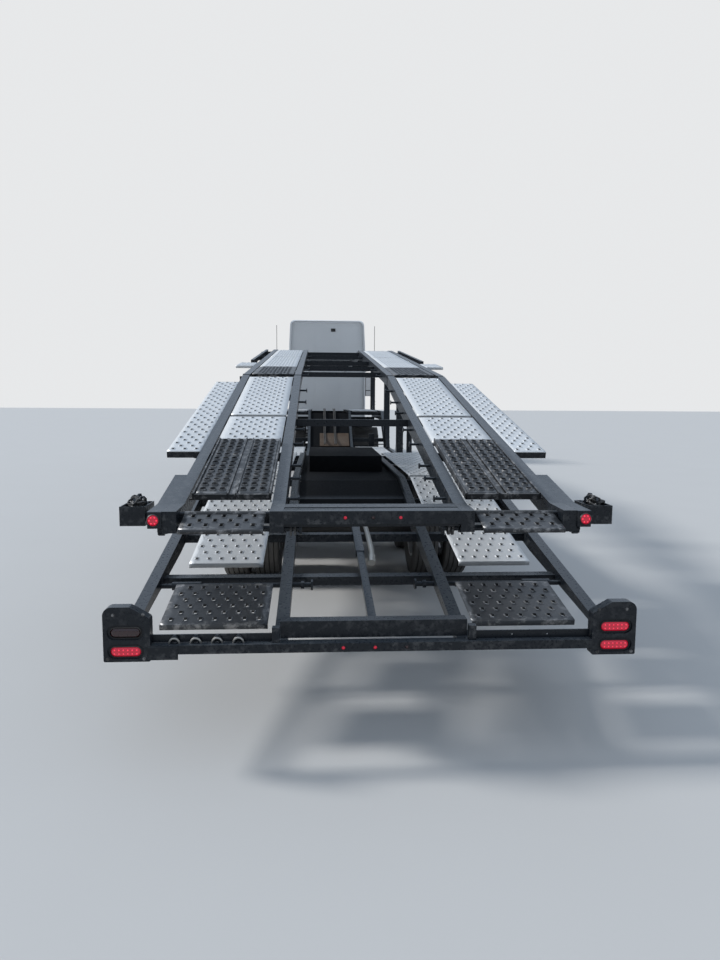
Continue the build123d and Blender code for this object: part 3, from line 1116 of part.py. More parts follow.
def main():
    make_wheels()
    make_trailer_frame()
    make_trailer_axles()
    make_rear_bumper()
    make_tail_lamps()
    make_lower_plates()
    make_front_deck()
    make_mid_deck()
    make_rear_deck()
    make_flaps()
    make_lifts()
    make_tractor_frame()
    make_fifth_wheel()
    make_tractor_axles()
    make_knuckles()
    make_cab()
    make_interior()
    make_hood()
    make_bumper()
    make_tanks()
    make_engine()
    make_mirrors()
    make_drive_fenders()
    os.makedirs("parts", exist_ok=True)
    for old in os.listdir("parts"):
        os.remove(os.path.join("parts", old))
    for name, shape in PARTS.items():
        export_step(shape, f"parts/{name}.step")
    print(len(PARTS), "nodes")


main()
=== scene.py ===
# %% [markdown]
# A car transporter truck, dressed for its picture. The frame below holds every CAD node at its real place, in metres:
# X to the right, Y forward, Z up. The tractor and trailer are never moved or resized here. Each step gives one group
# of pieces its surface, or models the small forms that a maker would fasten to it.

# %% Load the frame
import json
import math
import random

import bmesh
import bpy
from mathutils import Euler, Matrix, Vector


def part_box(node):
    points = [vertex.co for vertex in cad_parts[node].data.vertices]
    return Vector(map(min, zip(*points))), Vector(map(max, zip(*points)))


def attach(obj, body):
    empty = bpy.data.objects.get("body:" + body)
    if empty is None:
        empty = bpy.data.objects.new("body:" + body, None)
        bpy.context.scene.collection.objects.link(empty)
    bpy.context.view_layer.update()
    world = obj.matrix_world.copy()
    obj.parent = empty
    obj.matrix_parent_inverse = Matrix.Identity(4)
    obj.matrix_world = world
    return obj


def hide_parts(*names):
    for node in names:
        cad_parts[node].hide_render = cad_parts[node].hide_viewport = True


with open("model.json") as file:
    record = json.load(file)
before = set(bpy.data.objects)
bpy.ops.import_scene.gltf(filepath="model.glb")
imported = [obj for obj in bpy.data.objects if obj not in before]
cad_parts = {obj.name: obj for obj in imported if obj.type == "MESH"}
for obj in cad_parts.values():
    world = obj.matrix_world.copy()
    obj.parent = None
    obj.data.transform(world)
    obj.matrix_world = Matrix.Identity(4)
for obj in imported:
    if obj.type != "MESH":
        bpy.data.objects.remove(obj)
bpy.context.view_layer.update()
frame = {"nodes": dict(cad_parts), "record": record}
NODES = frame["nodes"]
BODY_OF = {node: body for body, members in frame["record"]["behaviour"]["bodies"].items() for node in members}
# Stations count forward from the rear bumper, as on the drawing of such a trailer
STATION_ZERO = -11.25
# Names of the vehicle's two sides, and their directions along X
SIDES = (("left", -1), ("right", 1))


def place(station):
    """The Y of a station, in metres from the rear bumper."""
    return station + STATION_ZERO


# %% [markdown]
# The camera stands where the photographer stood: behind the trailer, a little left of its middle, at eye height,
# looking slightly down. A camera looks along its own -Z, so it is first tipped up to the horizon, then down by the
# pitch, and turned by the yaw. Keeping these as three named angles is easier to correct than a matrix.

# %% Camera
CAMERA_AT = (-0.279, -14.525, 1.75)
LENS_MM, SENSOR_MM = 26.25, 36.0
YAW, PITCH, ROLL = 0.0608, 0.1132, 0.0064
FAR_CLIP = 400.0

lens = bpy.data.cameras.new("camera")
lens.lens, lens.sensor_width, lens.sensor_height = LENS_MM, SENSOR_MM, SENSOR_MM
lens.clip_end = FAR_CLIP
camera = bpy.data.objects.new("camera", lens)
camera.matrix_world = (
    Matrix.Translation(CAMERA_AT)
    @ Matrix.Rotation(-YAW, 4, "Z")
    @ Matrix.Rotation(math.pi / 2 - PITCH, 4, "X")
    @ Matrix.Rotation(ROLL, 4, "Z")
)
bpy.context.scene.collection.objects.link(camera)
bpy.context.scene.camera = camera
print("camera looks along", [round(v, 3) for v in camera.matrix_world.to_3x3() @ Vector((0, 0, -1))])

# %% [markdown]
# A studio for something 22 metres long is mostly sky. A world that is brighter overhead gives the painted rails a soft
# top light, as open air does. One soft lamp stands ahead on the left, so the truck's rear faces are in shade, as in
# the photograph. Light Path shows the camera a plain pale background, which adds no light to the truck.

# %% Light and background
BACKGROUND = (0.80, 0.81, 0.82, 1.0)
SKY_STOPS = ((0.0, (0.16, 0.16, 0.16, 1.0)), (0.49, (0.28, 0.29, 0.31, 1.0)), (0.56, (0.55, 0.62, 0.72, 1.0)),
             (1.0, (0.66, 0.80, 1.0, 1.0)))
SKY_STRENGTH = 0.85
SUN_STRENGTH, SUN_SPREAD = 2.6, math.radians(9)
# The way the light travels: to the right, a little back towards the camera, and down
SUN_TRAVEL = (0.80, -0.20, -0.57)

bpy.context.scene.view_settings.view_transform = "Standard"
world = bpy.data.worlds.new("studio")
bpy.context.scene.world = world
world.use_nodes = True
sky = world.node_tree
sky.nodes.clear()
direction = sky.nodes.new("ShaderNodeTexCoord")
split = sky.nodes.new("ShaderNodeSeparateXYZ")
height = sky.nodes.new("ShaderNodeMapRange")
height.inputs["From Min"].default_value = -1.0
ramp = sky.nodes.new("ShaderNodeValToRGB")
ramp.color_ramp.elements[0].position, ramp.color_ramp.elements[0].color = SKY_STOPS[0]
ramp.color_ramp.elements[1].position, ramp.color_ramp.elements[1].color = SKY_STOPS[-1]
for position, colour in SKY_STOPS[1:-1]:
    ramp.color_ramp.elements.new(position).color = colour
lit = sky.nodes.new("ShaderNodeBackground")
lit.inputs["Strength"].default_value = SKY_STRENGTH
seen = sky.nodes.new("ShaderNodeBackground")
seen.inputs["Color"].default_value = BACKGROUND
path = sky.nodes.new("ShaderNodeLightPath")
choose = sky.nodes.new("ShaderNodeMixShader")
out = sky.nodes.new("ShaderNodeOutputWorld")
for a, b in (
    (direction.outputs["Generated"], split.inputs[0]),
    (split.outputs["Z"], height.inputs["Value"]),
    (height.outputs["Result"], ramp.inputs["Fac"]),
    (ramp.outputs["Color"], lit.inputs["Color"]),
    (path.outputs["Is Camera Ray"], choose.inputs["Fac"]),
    (lit.outputs[0], choose.inputs[1]),
    (seen.outputs[0], choose.inputs[2]),
    (choose.outputs[0], out.inputs["Surface"]),
):
    sky.links.new(a, b)

sun = bpy.data.lights.new("soft_sun", "SUN")
sun.energy, sun.angle = SUN_STRENGTH, SUN_SPREAD
sun_object = bpy.data.objects.new("soft_sun", sun)
sun_object.rotation_euler = Vector(SUN_TRAVEL).to_track_quat("-Z", "Y").to_euler()
bpy.context.scene.collection.objects.link(sun_object)
print("sky strength", SKY_STRENGTH, "lamp strength", SUN_STRENGTH)

# %% [markdown]
# Every finish below is a small tree of shader nodes, so this cell makes two shorthands: one adds a node and sets its
# inputs, and one makes a node group whose inputs and outputs are named. Groups give out only colours and masks, and
# the Principled shader stays in the material, where the exporter can read it.

# %% Shader shorthands
def add(tree, kind, settings=None, **inputs):
    """A node of that kind; a tuple or number sets an input, and an output socket is linked to it."""
    made = tree.nodes.new("ShaderNode" + kind)
    for key, value in (settings or {}).items():
        setattr(made, key, value)
    for key, value in inputs.items():
        socket = made.inputs[key.replace("_", " ")]
        if isinstance(value, bpy.types.NodeSocket):
            tree.links.new(value, socket)
        else:
            socket.default_value = value
    return made


def maths(tree, operation, a, b=0.0):
    """One Math node; a and b are numbers or sockets. A sum or a product is held between 0 and 1."""
    made = tree.nodes.new("ShaderNodeMath")
    made.operation = operation
    made.use_clamp = operation in ("MULTIPLY", "ADD")
    for socket, value in zip(made.inputs, (a, b)):
        if isinstance(value, bpy.types.NodeSocket):
            tree.links.new(value, socket)
        else:
            socket.default_value = value
    return made.outputs[0]


def mixed(tree, mask, a, b):
    """Colour a where the mask is 0, and colour b where it is 1."""
    made = tree.nodes.new("ShaderNodeMix")
    made.data_type = "RGBA"
    for name, value in (("Factor_Float", mask), ("A_Color", a), ("B_Color", b)):
        socket = next(s for s in made.inputs if s.identifier == name)
        if isinstance(value, bpy.types.NodeSocket):
            tree.links.new(value, socket)
        else:
            socket.default_value = value
    return next(s for s in made.outputs if s.identifier == "Result_Color")


def new_group(name, inputs, outputs):
    """A shader node group with float inputs, and its input and output nodes."""
    tree = bpy.data.node_groups.new(name, "ShaderNodeTree")
    for label, value in inputs:
        tree.interface.new_socket(label, in_out="INPUT", socket_type="NodeSocketFloat").default_value = value
    for label in outputs:
        tree.interface.new_socket(label, in_out="OUTPUT", socket_type="NodeSocketFloat")
    return tree, tree.nodes.new("NodeGroupInput"), tree.nodes.new("NodeGroupOutput")


def placed(tree, group, **inputs):
    """A group inside a material."""
    made = tree.nodes.new("ShaderNodeGroup")
    made.node_tree = group
    for key, value in inputs.items():
        made.inputs[key.replace("_", " ")].default_value = value
    return made


def new_finish(name):
    """An empty finish: the material, its node tree and its Principled shader."""
    made = bpy.data.materials.new(name)
    made.use_nodes = True
    return made, made.node_tree, made.node_tree.nodes["Principled BSDF"]


# %% [markdown]
# Three effects show on every part of a working truck. Road film settles on faces that look up and thickens low down.
# Paint wears off where an edge sticks out. And no coat is even: a slow cloud varies it by the metre, and a fine grain
# by the millimetre. Each is one group, placed in the materials with its own strength.

# %% Shared groups: film, wear, grain
film, film_in, film_out = new_group("road_film", (("Amount", 0.5), ("Reach", 1.2)), ("Mask",))
spot = add(film, "TexCoord").outputs["Object"]
cloud = add(film, "TexNoise", Vector=spot, Scale=2.1, Detail=6.0, Roughness=0.62)
facing = add(film, "SeparateXYZ", Vector=add(film, "NewGeometry").outputs["Normal"])
upward = add(film, "MapRange", Value=facing.outputs["Z"], From_Min=-0.2, From_Max=1.0, To_Min=0.35)
level = add(film, "SeparateXYZ", Vector=spot)
low = add(film, "MapRange", Value=level.outputs["Z"], From_Min=film_in.outputs["Reach"], From_Max=0.2, To_Min=0.4)
patch = add(film, "MapRange", Value=cloud.outputs["Fac"], From_Min=0.38, From_Max=0.72)
spread = maths(film, "MULTIPLY", maths(film, "MULTIPLY", upward.outputs[0], low.outputs[0]), patch.outputs[0])
film.links.new(maths(film, "MULTIPLY", spread, film_in.outputs["Amount"]), film_out.inputs["Mask"])

wear, wear_in, wear_out = new_group("edge_wear", (("Amount", 0.5), ("Scale", 30.0)), ("Mask",))
edge = add(wear, "MapRange", Value=add(wear, "NewGeometry").outputs["Pointiness"], From_Min=0.515, From_Max=0.60)
chips = add(wear, "TexNoise", Vector=add(wear, "TexCoord").outputs["Object"], Scale=wear_in.outputs["Scale"],
            Detail=5.0, Roughness=0.7)
chip = add(wear, "MapRange", Value=chips.outputs["Fac"], From_Min=0.50, From_Max=0.62)
worn = maths(wear, "MULTIPLY", edge.outputs[0], chip.outputs[0])
wear.links.new(maths(wear, "MULTIPLY", worn, wear_in.outputs["Amount"]), wear_out.inputs["Mask"])

grain, grain_in, grain_out = new_group("coat_grain", (("Scale", 60.0),), ("Cloud", "Fine"))
where = add(grain, "TexCoord").outputs["Object"]
slow = add(grain, "TexNoise", Vector=where, Scale=1.7, Detail=4.0)
fine = add(grain, "TexNoise", Vector=where, Scale=grain_in.outputs["Scale"], Detail=3.0)
grain.links.new(slow.outputs["Fac"], grain_out.inputs["Cloud"])
grain.links.new(fine.outputs["Fac"], grain_out.inputs["Fine"])
print("groups", [g.name for g in bpy.data.node_groups])

# %% [markdown]
# One function makes most finishes: a coat of two tones, then film, wear and fine relief from the groups. Three extras
# are for single finishes. Pressed sheets get painted shade and dirt down in their holes, old black paint gets a painted
# sky sheen, lighter and bluer, where it faces up, and between the trailer's inner rails the paint is painted near black
# as shade.

# %% A coat
DUST = (0.30, 0.265, 0.22, 1.0)
BARE_STEEL = (0.36, 0.35, 0.34, 1.0)
# Painted shade and dirt down in the pressed holes
HOLE_SHADE_AND_GRIME_TONE = (0.012, 0.011, 0.010, 1.0)
# A painted sky sheen, lighter and bluer, for faces that look up
SKY_SHEEN_TONE = (0.10, 0.115, 0.13, 1.0)
# Painted shade, near black, between the trailer's inner rails
GAP_SHADE_TONE = (0.0030, 0.0036, 0.0046, 1.0)
# Where the painted shade between the inner rails begins and is full: distance from the centre plane, and Y
GAP_SHADE_HALF, GAP_SHADE_FROM = (0.452, 0.438), (-8.95, -8.75)
# How much rougher dust and the painted gap shade make a coat, and how little the coat reflects in that painted shade
DUST_DULLS, GAP_SHADE_DULLS, GAP_SHADE_LEVEL = 0.55, 0.5, 0.12
# The least and the greatest share of its roughness that the grain leaves a coat, and how deep the grain is
SMOOTHEST, ROUGHEST, GRAIN_DEPTH = 0.82, 1.2, 0.0006
CLEAR_COAT_ROUGH = 0.08


def coat(name, tones, metallic, rough, film_amount=0.5, film_reach=1.2, wear_amount=0.5, wear_scale=30.0,
         grain_scale=60.0, bump=0.15, clear=0.0, level=0.5, top_sheen=0.0, hollow_shade_and_grime=False, shaded_gap=False):
    """A procedural finish: two tones of one coat, road film, worn edges, uneven gloss and a fine bump."""
    made, tree, shader = new_finish(name)
    uneven = placed(tree, grain, Scale=grain_scale)
    dusty = placed(tree, film, Amount=film_amount, Reach=film_reach)
    edges = placed(tree, wear, Amount=wear_amount, Scale=wear_scale)
    tone = mixed(tree, uneven.outputs["Cloud"], (*tones[0], 1.0), (*tones[1], 1.0))
    tone = mixed(tree, dusty.outputs["Mask"], tone, DUST)
    tone = mixed(tree, edges.outputs["Mask"], tone, BARE_STEEL)
    if hollow_shade_and_grime:
        # Painted shade and dirt darken the pressed holes, whose corners the sheet's own mesh marks
        down = add(tree, "Attribute", {"attribute_name": "grime"}).outputs["Fac"]
        tone = mixed(tree, add(tree, "MapRange", Value=down, From_Min=0.1, From_Max=0.7).outputs[0], tone, HOLE_SHADE_AND_GRIME_TONE)
    if top_sheen:
        # A painted sky sheen: faces that look up are painted lighter and bluer
        up = add(tree, "SeparateXYZ", Vector=add(tree, "NewGeometry").outputs["Normal"]).outputs["Z"]
        sheen_mask = add(tree, "MapRange", Value=up, From_Min=0.5, From_Max=0.95, To_Max=top_sheen)
        tone = mixed(tree, sheen_mask.outputs[0], tone, SKY_SHEEN_TONE)
    shader.inputs["Specular IOR Level"].default_value = level
    matt = add(tree, "MapRange", Value=uneven.outputs["Fine"], From_Min=0.3, From_Max=0.7,
               To_Min=rough * SMOOTHEST, To_Max=min(1.0, rough * ROUGHEST))
    dull = maths(tree, "ADD", matt.outputs[0], maths(tree, "MULTIPLY", dusty.outputs["Mask"], DUST_DULLS))
    if shaded_gap:
        # Painted shade: between the inner rails, from near the tail forward, the coat is painted near black, duller and
        # less reflective
        spot = add(tree, "SeparateXYZ", Vector=add(tree, "TexCoord").outputs["Object"])
        inboard = add(tree, "MapRange", Value=maths(tree, "ABSOLUTE", spot.outputs["X"]), From_Min=GAP_SHADE_HALF[0],
                      From_Max=GAP_SHADE_HALF[1])
        ahead = add(tree, "MapRange", Value=spot.outputs["Y"], From_Min=GAP_SHADE_FROM[0], From_Max=GAP_SHADE_FROM[1])
        gap_shade_mask = maths(tree, "MULTIPLY", inboard.outputs[0], ahead.outputs[0])
        tone = mixed(tree, gap_shade_mask, tone, GAP_SHADE_TONE)
        dull = maths(tree, "ADD", dull, maths(tree, "MULTIPLY", gap_shade_mask, GAP_SHADE_DULLS))
        tree.links.new(add(tree, "MapRange", Value=gap_shade_mask, To_Min=level, To_Max=GAP_SHADE_LEVEL).outputs[0],
                       shader.inputs["Specular IOR Level"])
    tree.links.new(tone, shader.inputs["Base Color"])
    tree.links.new(dull, shader.inputs["Roughness"])
    if metallic:
        shiny = maths(tree, "SUBTRACT", metallic, dusty.outputs["Mask"])
        tree.links.new(shiny, shader.inputs["Metallic"])
    if clear:
        shader.inputs["Coat Weight"].default_value = clear
        shader.inputs["Coat Roughness"].default_value = CLEAR_COAT_ROUGH
    relief = add(tree, "Bump", Height=uneven.outputs["Fine"], Strength=bump, Distance=GRAIN_DEPTH)
    tree.links.new(relief.outputs[0], shader.inputs["Normal"])
    return made


# %% [markdown]
# The finishes stand in one table: the coat's two tones, how metallic and how rough it is, then what differs from the
# usual coat. The table is the place to compare them, since a colour only looks right beside its neighbours.

# %% Painted, cast and rolled finishes
BLACK_TONES = ((0.0075, 0.0100, 0.0135), (0.0110, 0.0145, 0.0190))
# Old black paint gets a painted sky sheen on its faces that look up
OLD_BLACK = {"film_amount": 0.014, "film_reach": 1.6, "wear_amount": 0.15, "level": 0.28, "top_sheen": 0.42, "bump": 0.06}
# name: (darker tone, lighter tone), metallic, roughness, then what differs from the usual coat
FINISHES = {
    "frame_paint": (BLACK_TONES, 0.0, 0.30, OLD_BLACK),
    # The trailer frame's coat is painted near black between the inner rails, as shade
    "gap_shaded_paint": (BLACK_TONES, 0.0, 0.30, {**OLD_BLACK, "shaded_gap": True}),
    "plate_aluminium": (((0.64, 0.65, 0.65), (0.76, 0.765, 0.76)), 0.45, 0.46,
                        {"film_amount": 0.22, "film_reach": 2.0, "wear_amount": 0.0, "grain_scale": 140.0,
                         "hollow_shade_and_grime": True}),
    "black_plate": (((0.012, 0.013, 0.015), (0.026, 0.028, 0.031)), 0.25, 0.36,
                    {"film_amount": 0.15, "film_reach": 2.4, "wear_amount": 0.8, "wear_scale": 18.0}),
    "worn_plate": (((0.045, 0.048, 0.053), (0.085, 0.090, 0.096)), 0.55, 0.36,
                   {"film_amount": 0.12, "film_reach": 2.4, "wear_amount": 0.9, "wear_scale": 14.0, "hollow_shade_and_grime": True}),
    "rim_steel": (((0.50, 0.51, 0.52), (0.62, 0.63, 0.64)), 0.7, 0.34, {"film_amount": 0.8, "film_reach": 1.6}),
    "axle_iron": (((0.016, 0.016, 0.017), (0.032, 0.031, 0.030)), 0.1, 0.55,
                  {"film_amount": 0.35, "film_reach": 1.6, "wear_amount": 0.5}),
    "cab_paint": (((0.60, 0.61, 0.61), (0.66, 0.67, 0.67)), 0.0, 0.26,
                  {"film_amount": 0.22, "film_reach": 2.2, "wear_amount": 0.0, "clear": 1.0, "bump": 0.03}),
    "chrome": (((0.66, 0.67, 0.68), (0.74, 0.75, 0.76)), 1.0, 0.13,
               {"film_amount": 0.25, "wear_amount": 0.0, "bump": 0.02}),
    "bumper_paint": (((0.60, 0.61, 0.61), (0.65, 0.66, 0.66)), 0.0, 0.28,
                     {"film_amount": 0.5, "wear_amount": 0.1, "clear": 0.8, "bump": 0.04}),
    "tank_aluminium": (((0.58, 0.60, 0.62), (0.68, 0.69, 0.71)), 0.95, 0.24,
                       {"film_amount": 0.6, "wear_amount": 0.0, "grain_scale": 110.0}),
    "interior_plastic": (((0.055, 0.053, 0.050), (0.085, 0.080, 0.075)), 0.0, 0.72,
                         {"film_amount": 0.15, "wear_amount": 0.0, "grain_scale": 400.0, "bump": 0.3}),
    "cylinder_steel": (((0.50, 0.51, 0.52), (0.60, 0.60, 0.61)), 1.0, 0.16, {"film_amount": 0.3, "wear_amount": 0.0}),
    "black_plastic": (((0.014, 0.014, 0.015), (0.022, 0.022, 0.023)), 0.0, 0.48,
                      {"film_amount": 0.35, "film_reach": 3.0, "wear_amount": 0.0, "grain_scale": 300.0,
                       "bump": 0.25}),
    "zinc": (((0.42, 0.41, 0.38), (0.52, 0.50, 0.46)), 0.9, 0.38, {"film_amount": 0.5, "wear_amount": 0.0}),
    "hose_rubber": (((0.012, 0.012, 0.012), (0.020, 0.020, 0.020)), 0.0, 0.6, {"film_amount": 0.4, "wear_amount": 0.0}),
    "seat_cloth": (((0.075, 0.078, 0.085), (0.11, 0.11, 0.12)), 0.0, 0.9,
                   {"film_amount": 0.0, "wear_amount": 0.0, "grain_scale": 900.0, "bump": 0.6}),
    # The plywood's tones are painted shade: as dark as the board looks where it lies in shade between the rails
    "plywood": (((0.052, 0.030, 0.016), (0.085, 0.050, 0.027)), 0.0, 0.7,
                {"film_amount": 0.3, "film_reach": 2.0, "wear_amount": 0.0, "grain_scale": 45.0, "bump": 0.3}),
}
# Every finish by its name; the cells below add rubber, plastic and glass
M = {name: coat(name, tones, metallic, rough, **other) for name, (tones, metallic, rough, other) in FINISHES.items()}
print("finishes", len(M))

# %% [markdown]
# A tyre is nearly black but never plain: its tread is scuffed grey by the road, and its sidewall carries faint
# moulded rings. The rings follow the distance from the wheel's middle, which the tyre's own mesh stores as an
# attribute when it is made, so one material serves eighteen tyres.

# %% Rubber
RUBBER, SCUFFED = (0.014, 0.014, 0.015, 1.0), (0.085, 0.080, 0.074, 1.0)
SCUFF_AMOUNT, RUBBER_DUST = 1.3, 0.7
# The rings in the sidewall: turns of a sine per metre of radius, in radians, and their share of the relief
RING_WAVES, RING_RELIEF = 900.0, 0.35

rubber, tree, shader = new_finish("rubber")
share = add(tree, "Attribute", {"attribute_name": "tread_share"}).outputs["Fac"]
ring = add(tree, "Attribute", {"attribute_name": "ring"}).outputs["Fac"]
uneven = placed(tree, grain, Scale=90.0)
dusty = placed(tree, film, Amount=0.8, Reach=1.3)
rubbed = maths(tree, "MULTIPLY", share, maths(tree, "MULTIPLY", uneven.outputs["Cloud"], SCUFF_AMOUNT))
tone = mixed(tree, rubbed, RUBBER, SCUFFED)
tone = mixed(tree, maths(tree, "MULTIPLY", dusty.outputs["Mask"], RUBBER_DUST), tone, DUST)
tree.links.new(tone, shader.inputs["Base Color"])
matt = add(tree, "MapRange", Value=uneven.outputs["Fine"], To_Min=0.62, To_Max=0.95)
tree.links.new(matt.outputs[0], shader.inputs["Roughness"])
# Multiply Add isn't held between 0 and 1; its own addend only shifts the rings
waves = maths(tree, "SINE", maths(tree, "MULTIPLY_ADD", ring, RING_WAVES))
raised = maths(tree, "ADD", maths(tree, "MULTIPLY", waves, RING_RELIEF), uneven.outputs["Fine"])
relief = add(tree, "Bump", Height=raised, Strength=0.35, Distance=0.0012)
tree.links.new(relief.outputs[0], shader.inputs["Normal"])
M["tyre"] = rubber
print("rubber nodes", len(tree.nodes))

# %% [markdown]
# Lamps are coloured plastic over small diodes. Unlit plastic is deep red with a gloss; a lit one also gives out its
# own light, strongest over each diode. The prisms moulded inside a lens are cells of a Voronoi texture.

# %% Lamp plastic
PRISM_SCALE, LENS_ROUGH, LENS_COAT = 130.0, 0.12, 0.6


def lens_plastic(name, tone, glow=0.0):
    """Coloured plastic with prisms inside, and its own light where it glows."""
    made, tree, shader = new_finish(name)
    cells = add(tree, "TexVoronoi", Vector=add(tree, "TexCoord").outputs["Object"], Scale=PRISM_SCALE)
    facets = add(tree, "MapRange", Value=cells.outputs["Distance"], From_Max=0.6, To_Min=1.0, To_Max=0.55)
    shade = mixed(tree, facets.outputs[0], (*[c * 0.5 for c in tone], 1.0), (*tone, 1.0))
    tree.links.new(shade, shader.inputs["Base Color"])
    if glow:
        tree.links.new(shade, shader.inputs["Emission Color"])
        shader.inputs["Emission Strength"].default_value = glow
    shader.inputs["Roughness"].default_value = LENS_ROUGH
    shader.inputs["Coat Weight"].default_value = LENS_COAT
    relief = add(tree, "Bump", Height=cells.outputs["Distance"], Strength=0.4, Distance=0.001)
    tree.links.new(relief.outputs[0], shader.inputs["Normal"])
    return made


M["lamp_red"] = lens_plastic("lamp_red", (0.030, 0.003, 0.004))
M["lamp_lit"] = lens_plastic("lamp_lit", (0.42, 0.006, 0.026), 0.7)
M["diode_lit"] = lens_plastic("diode_lit", (0.90, 0.03, 0.07), 1.0)
M["lamp_amber"] = lens_plastic("lamp_amber", (0.75, 0.26, 0.02))
M["lamp_clear"] = lens_plastic("lamp_clear", (0.20, 0.22, 0.24))
print("lamp plastics", [name for name in M if name.startswith(("lamp", "diode"))])

# %% [markdown]
# Glass, mirrors and the floor are plain surfaces whose tone drifts a little between two, and the gloss of glass
# drifts with it, as on a pane wiped by hand. Glass keeps plain transmission, with a grey-green tint so that the cab
# reads as glazed from outside.

# %% Glass, mirror glass and the floor
def clouded(name, tones, scale, detail, rough):
    """A surface whose tone and roughness drift between two values, and its Principled shader."""
    made, tree, shader = new_finish(name)
    cloud = add(tree, "TexNoise", Vector=add(tree, "TexCoord").outputs["Object"], Scale=scale, Detail=detail)
    tone = mixed(tree, cloud.outputs["Fac"], (*tones[0], 1.0), (*tones[1], 1.0))
    tree.links.new(tone, shader.inputs["Base Color"])
    gloss = add(tree, "MapRange", Value=cloud.outputs["Fac"], To_Min=rough[0], To_Max=rough[1])
    tree.links.new(gloss.outputs[0], shader.inputs["Roughness"])
    return made, shader


M["glass"], shader = clouded("glass", ((0.30, 0.36, 0.35), (0.42, 0.47, 0.46)), 7.0, 4.0, (0.02, 0.10))
shader.inputs["Transmission Weight"].default_value = 1.0
shader.inputs["IOR"].default_value = 1.45
M["mirror_glass"], shader = clouded("mirror_glass", ((0.70, 0.73, 0.75), (0.80, 0.82, 0.83)), 9.0, 5.0, (0.02, 0.08))
shader.inputs["Metallic"].default_value = 1.0

FLOOR_COLOUR, FLOOR_DARKER, FLOOR_HALF = (0.52, 0.51, 0.49), 0.96, 120.0
floor_tones = (tuple(c * FLOOR_DARKER for c in FLOOR_COLOUR), FLOOR_COLOUR)
floor_finish, _ = clouded("floor", floor_tones, 0.8, 7.0, (0.9, 0.9))
bm = bmesh.new()
bmesh.ops.create_grid(bm, x_segments=1, y_segments=1, size=FLOOR_HALF)
floor_mesh = bpy.data.meshes.new("floor")
bm.to_mesh(floor_mesh)
bm.free()
floor_mesh.materials.append(floor_finish)
floor = bpy.data.objects.new("floor", floor_mesh)
bpy.context.scene.collection.objects.link(floor)
print("materials", len(bpy.data.materials))

# %% [markdown]
# A CAD solid arrives as loose triangles with knife-sharp edges. Rolled and welded steel has none: a 2 or 3 mm round
# catches a line of light along every rail. So each rigid node gets a dressed copy: its doubled corners are merged,
# its flat triangles joined into panels, its shallow facets shaded smooth, and its edges rounded by a Bevel modifier.

# %% The dressing helper
PLANAR = math.radians(1.0)
SMOOTH_BELOW = math.radians(38.0)
BEVEL_ABOVE = math.radians(34.0)
MERGE = 0.00002
PIECES = []


def finish_piece(name, bm, material, body, nodes=(), bevel=0.0, segments=2):
    """Makes a bmesh a piece: one material, smooth shading by angle, an optional Bevel, and its place in the frame."""
    mesh = bpy.data.meshes.new(name)
    bm.to_mesh(mesh)
    bm.free()
    mesh.materials.append(M[material])
    mesh.polygons.foreach_set("use_smooth", [True] * len(mesh.polygons))
    mesh.set_sharp_from_angle(angle=SMOOTH_BELOW)
    made = bpy.data.objects.new(name, mesh)
    bpy.context.scene.collection.objects.link(made)
    if bevel:
        rounding = made.modifiers.new("rounding", "BEVEL")
        rounding.width, rounding.segments = bevel, segments
        rounding.limit_method, rounding.angle_limit = "ANGLE", BEVEL_ABOVE
        rounding.harden_normals = True
    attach(made, body)
    if nodes:
        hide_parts(*nodes)
    PIECES.append(made)
    return made


def node_mesh(node):
    """A CAD node's own mesh as a bmesh, with its doubled corners merged and its flat triangles joined."""
    bm = bmesh.new()
    bm.from_mesh(NODES[node].data)
    bmesh.ops.remove_doubles(bm, verts=bm.verts, dist=MERGE)
    bmesh.ops.dissolve_limit(bm, angle_limit=PLANAR, verts=bm.verts, edges=bm.edges, delimit={"NORMAL"})
    return bm


def dress(node, material, bevel, segments=2):
    """A rounded copy of a CAD node, in the same place and on the same body."""
    return finish_piece(node + "_dressed", node_mesh(node), material, BODY_OF[node], (node,), bevel,
                        segments)


# node: finish, and the radius of its rounded edges in metres
RIGID = {
    "trailer_frame": ("gap_shaded_paint", 0.003), "rear_deck_frame": ("frame_paint", 0.003),
    "mid_deck_frame": ("frame_paint", 0.003), "front_deck_frame": ("frame_paint", 0.003),
    "deck_posts": ("frame_paint", 0.004), "rear_bumper": ("frame_paint", 0.005),
    "lift_barrels": ("frame_paint", 0.002), "lift_rods": ("cylinder_steel", 0.001),
    "trailer_axles": ("axle_iron", 0.004), "tractor_frame": ("axle_iron", 0.004),
    "tractor_axles": ("axle_iron", 0.004), "knuckle_left": ("axle_iron", 0.002),
    "knuckle_right": ("axle_iron", 0.002), "fifth_wheel": ("axle_iron", 0.004),
    "engine_block": ("axle_iron", 0.010), "drive_fenders": ("black_plastic", 0.002),
    "front_bumper": ("bumper_paint", 0.008), "tanks_and_steps": ("tank_aluminium", 0.004),
    "mirrors": ("black_plastic", 0.006), "grille": ("chrome", 0.002),
    "cab_shell": ("cab_paint", 0.004), "sleeper_shell": ("cab_paint", 0.006), "hood_shell": ("cab_paint", 0.006),
    "door_left": ("cab_paint", 0.003), "door_right": ("cab_paint", 0.003),
}
for node, (material, radius) in RIGID.items():
    dress(node, material, radius)
print("dressed", len(RIGID), "nodes")

# %% [markdown]
# Panes and the head lamps' covers are ground and moulded to fit their openings, so they keep their CAD form. Only their
# edges are broken, which is enough for a pane to catch the light along its border.

# %% Panes and clear covers
PANES = {"cab_glass": "glass", "door_glass_left": "glass", "door_glass_right": "glass", "headlamps": "lamp_clear"}
PANE_EDGE = 0.0015
for node, material in PANES.items():
    dress(node, material, PANE_EDGE)
print("panes", len(PANES))

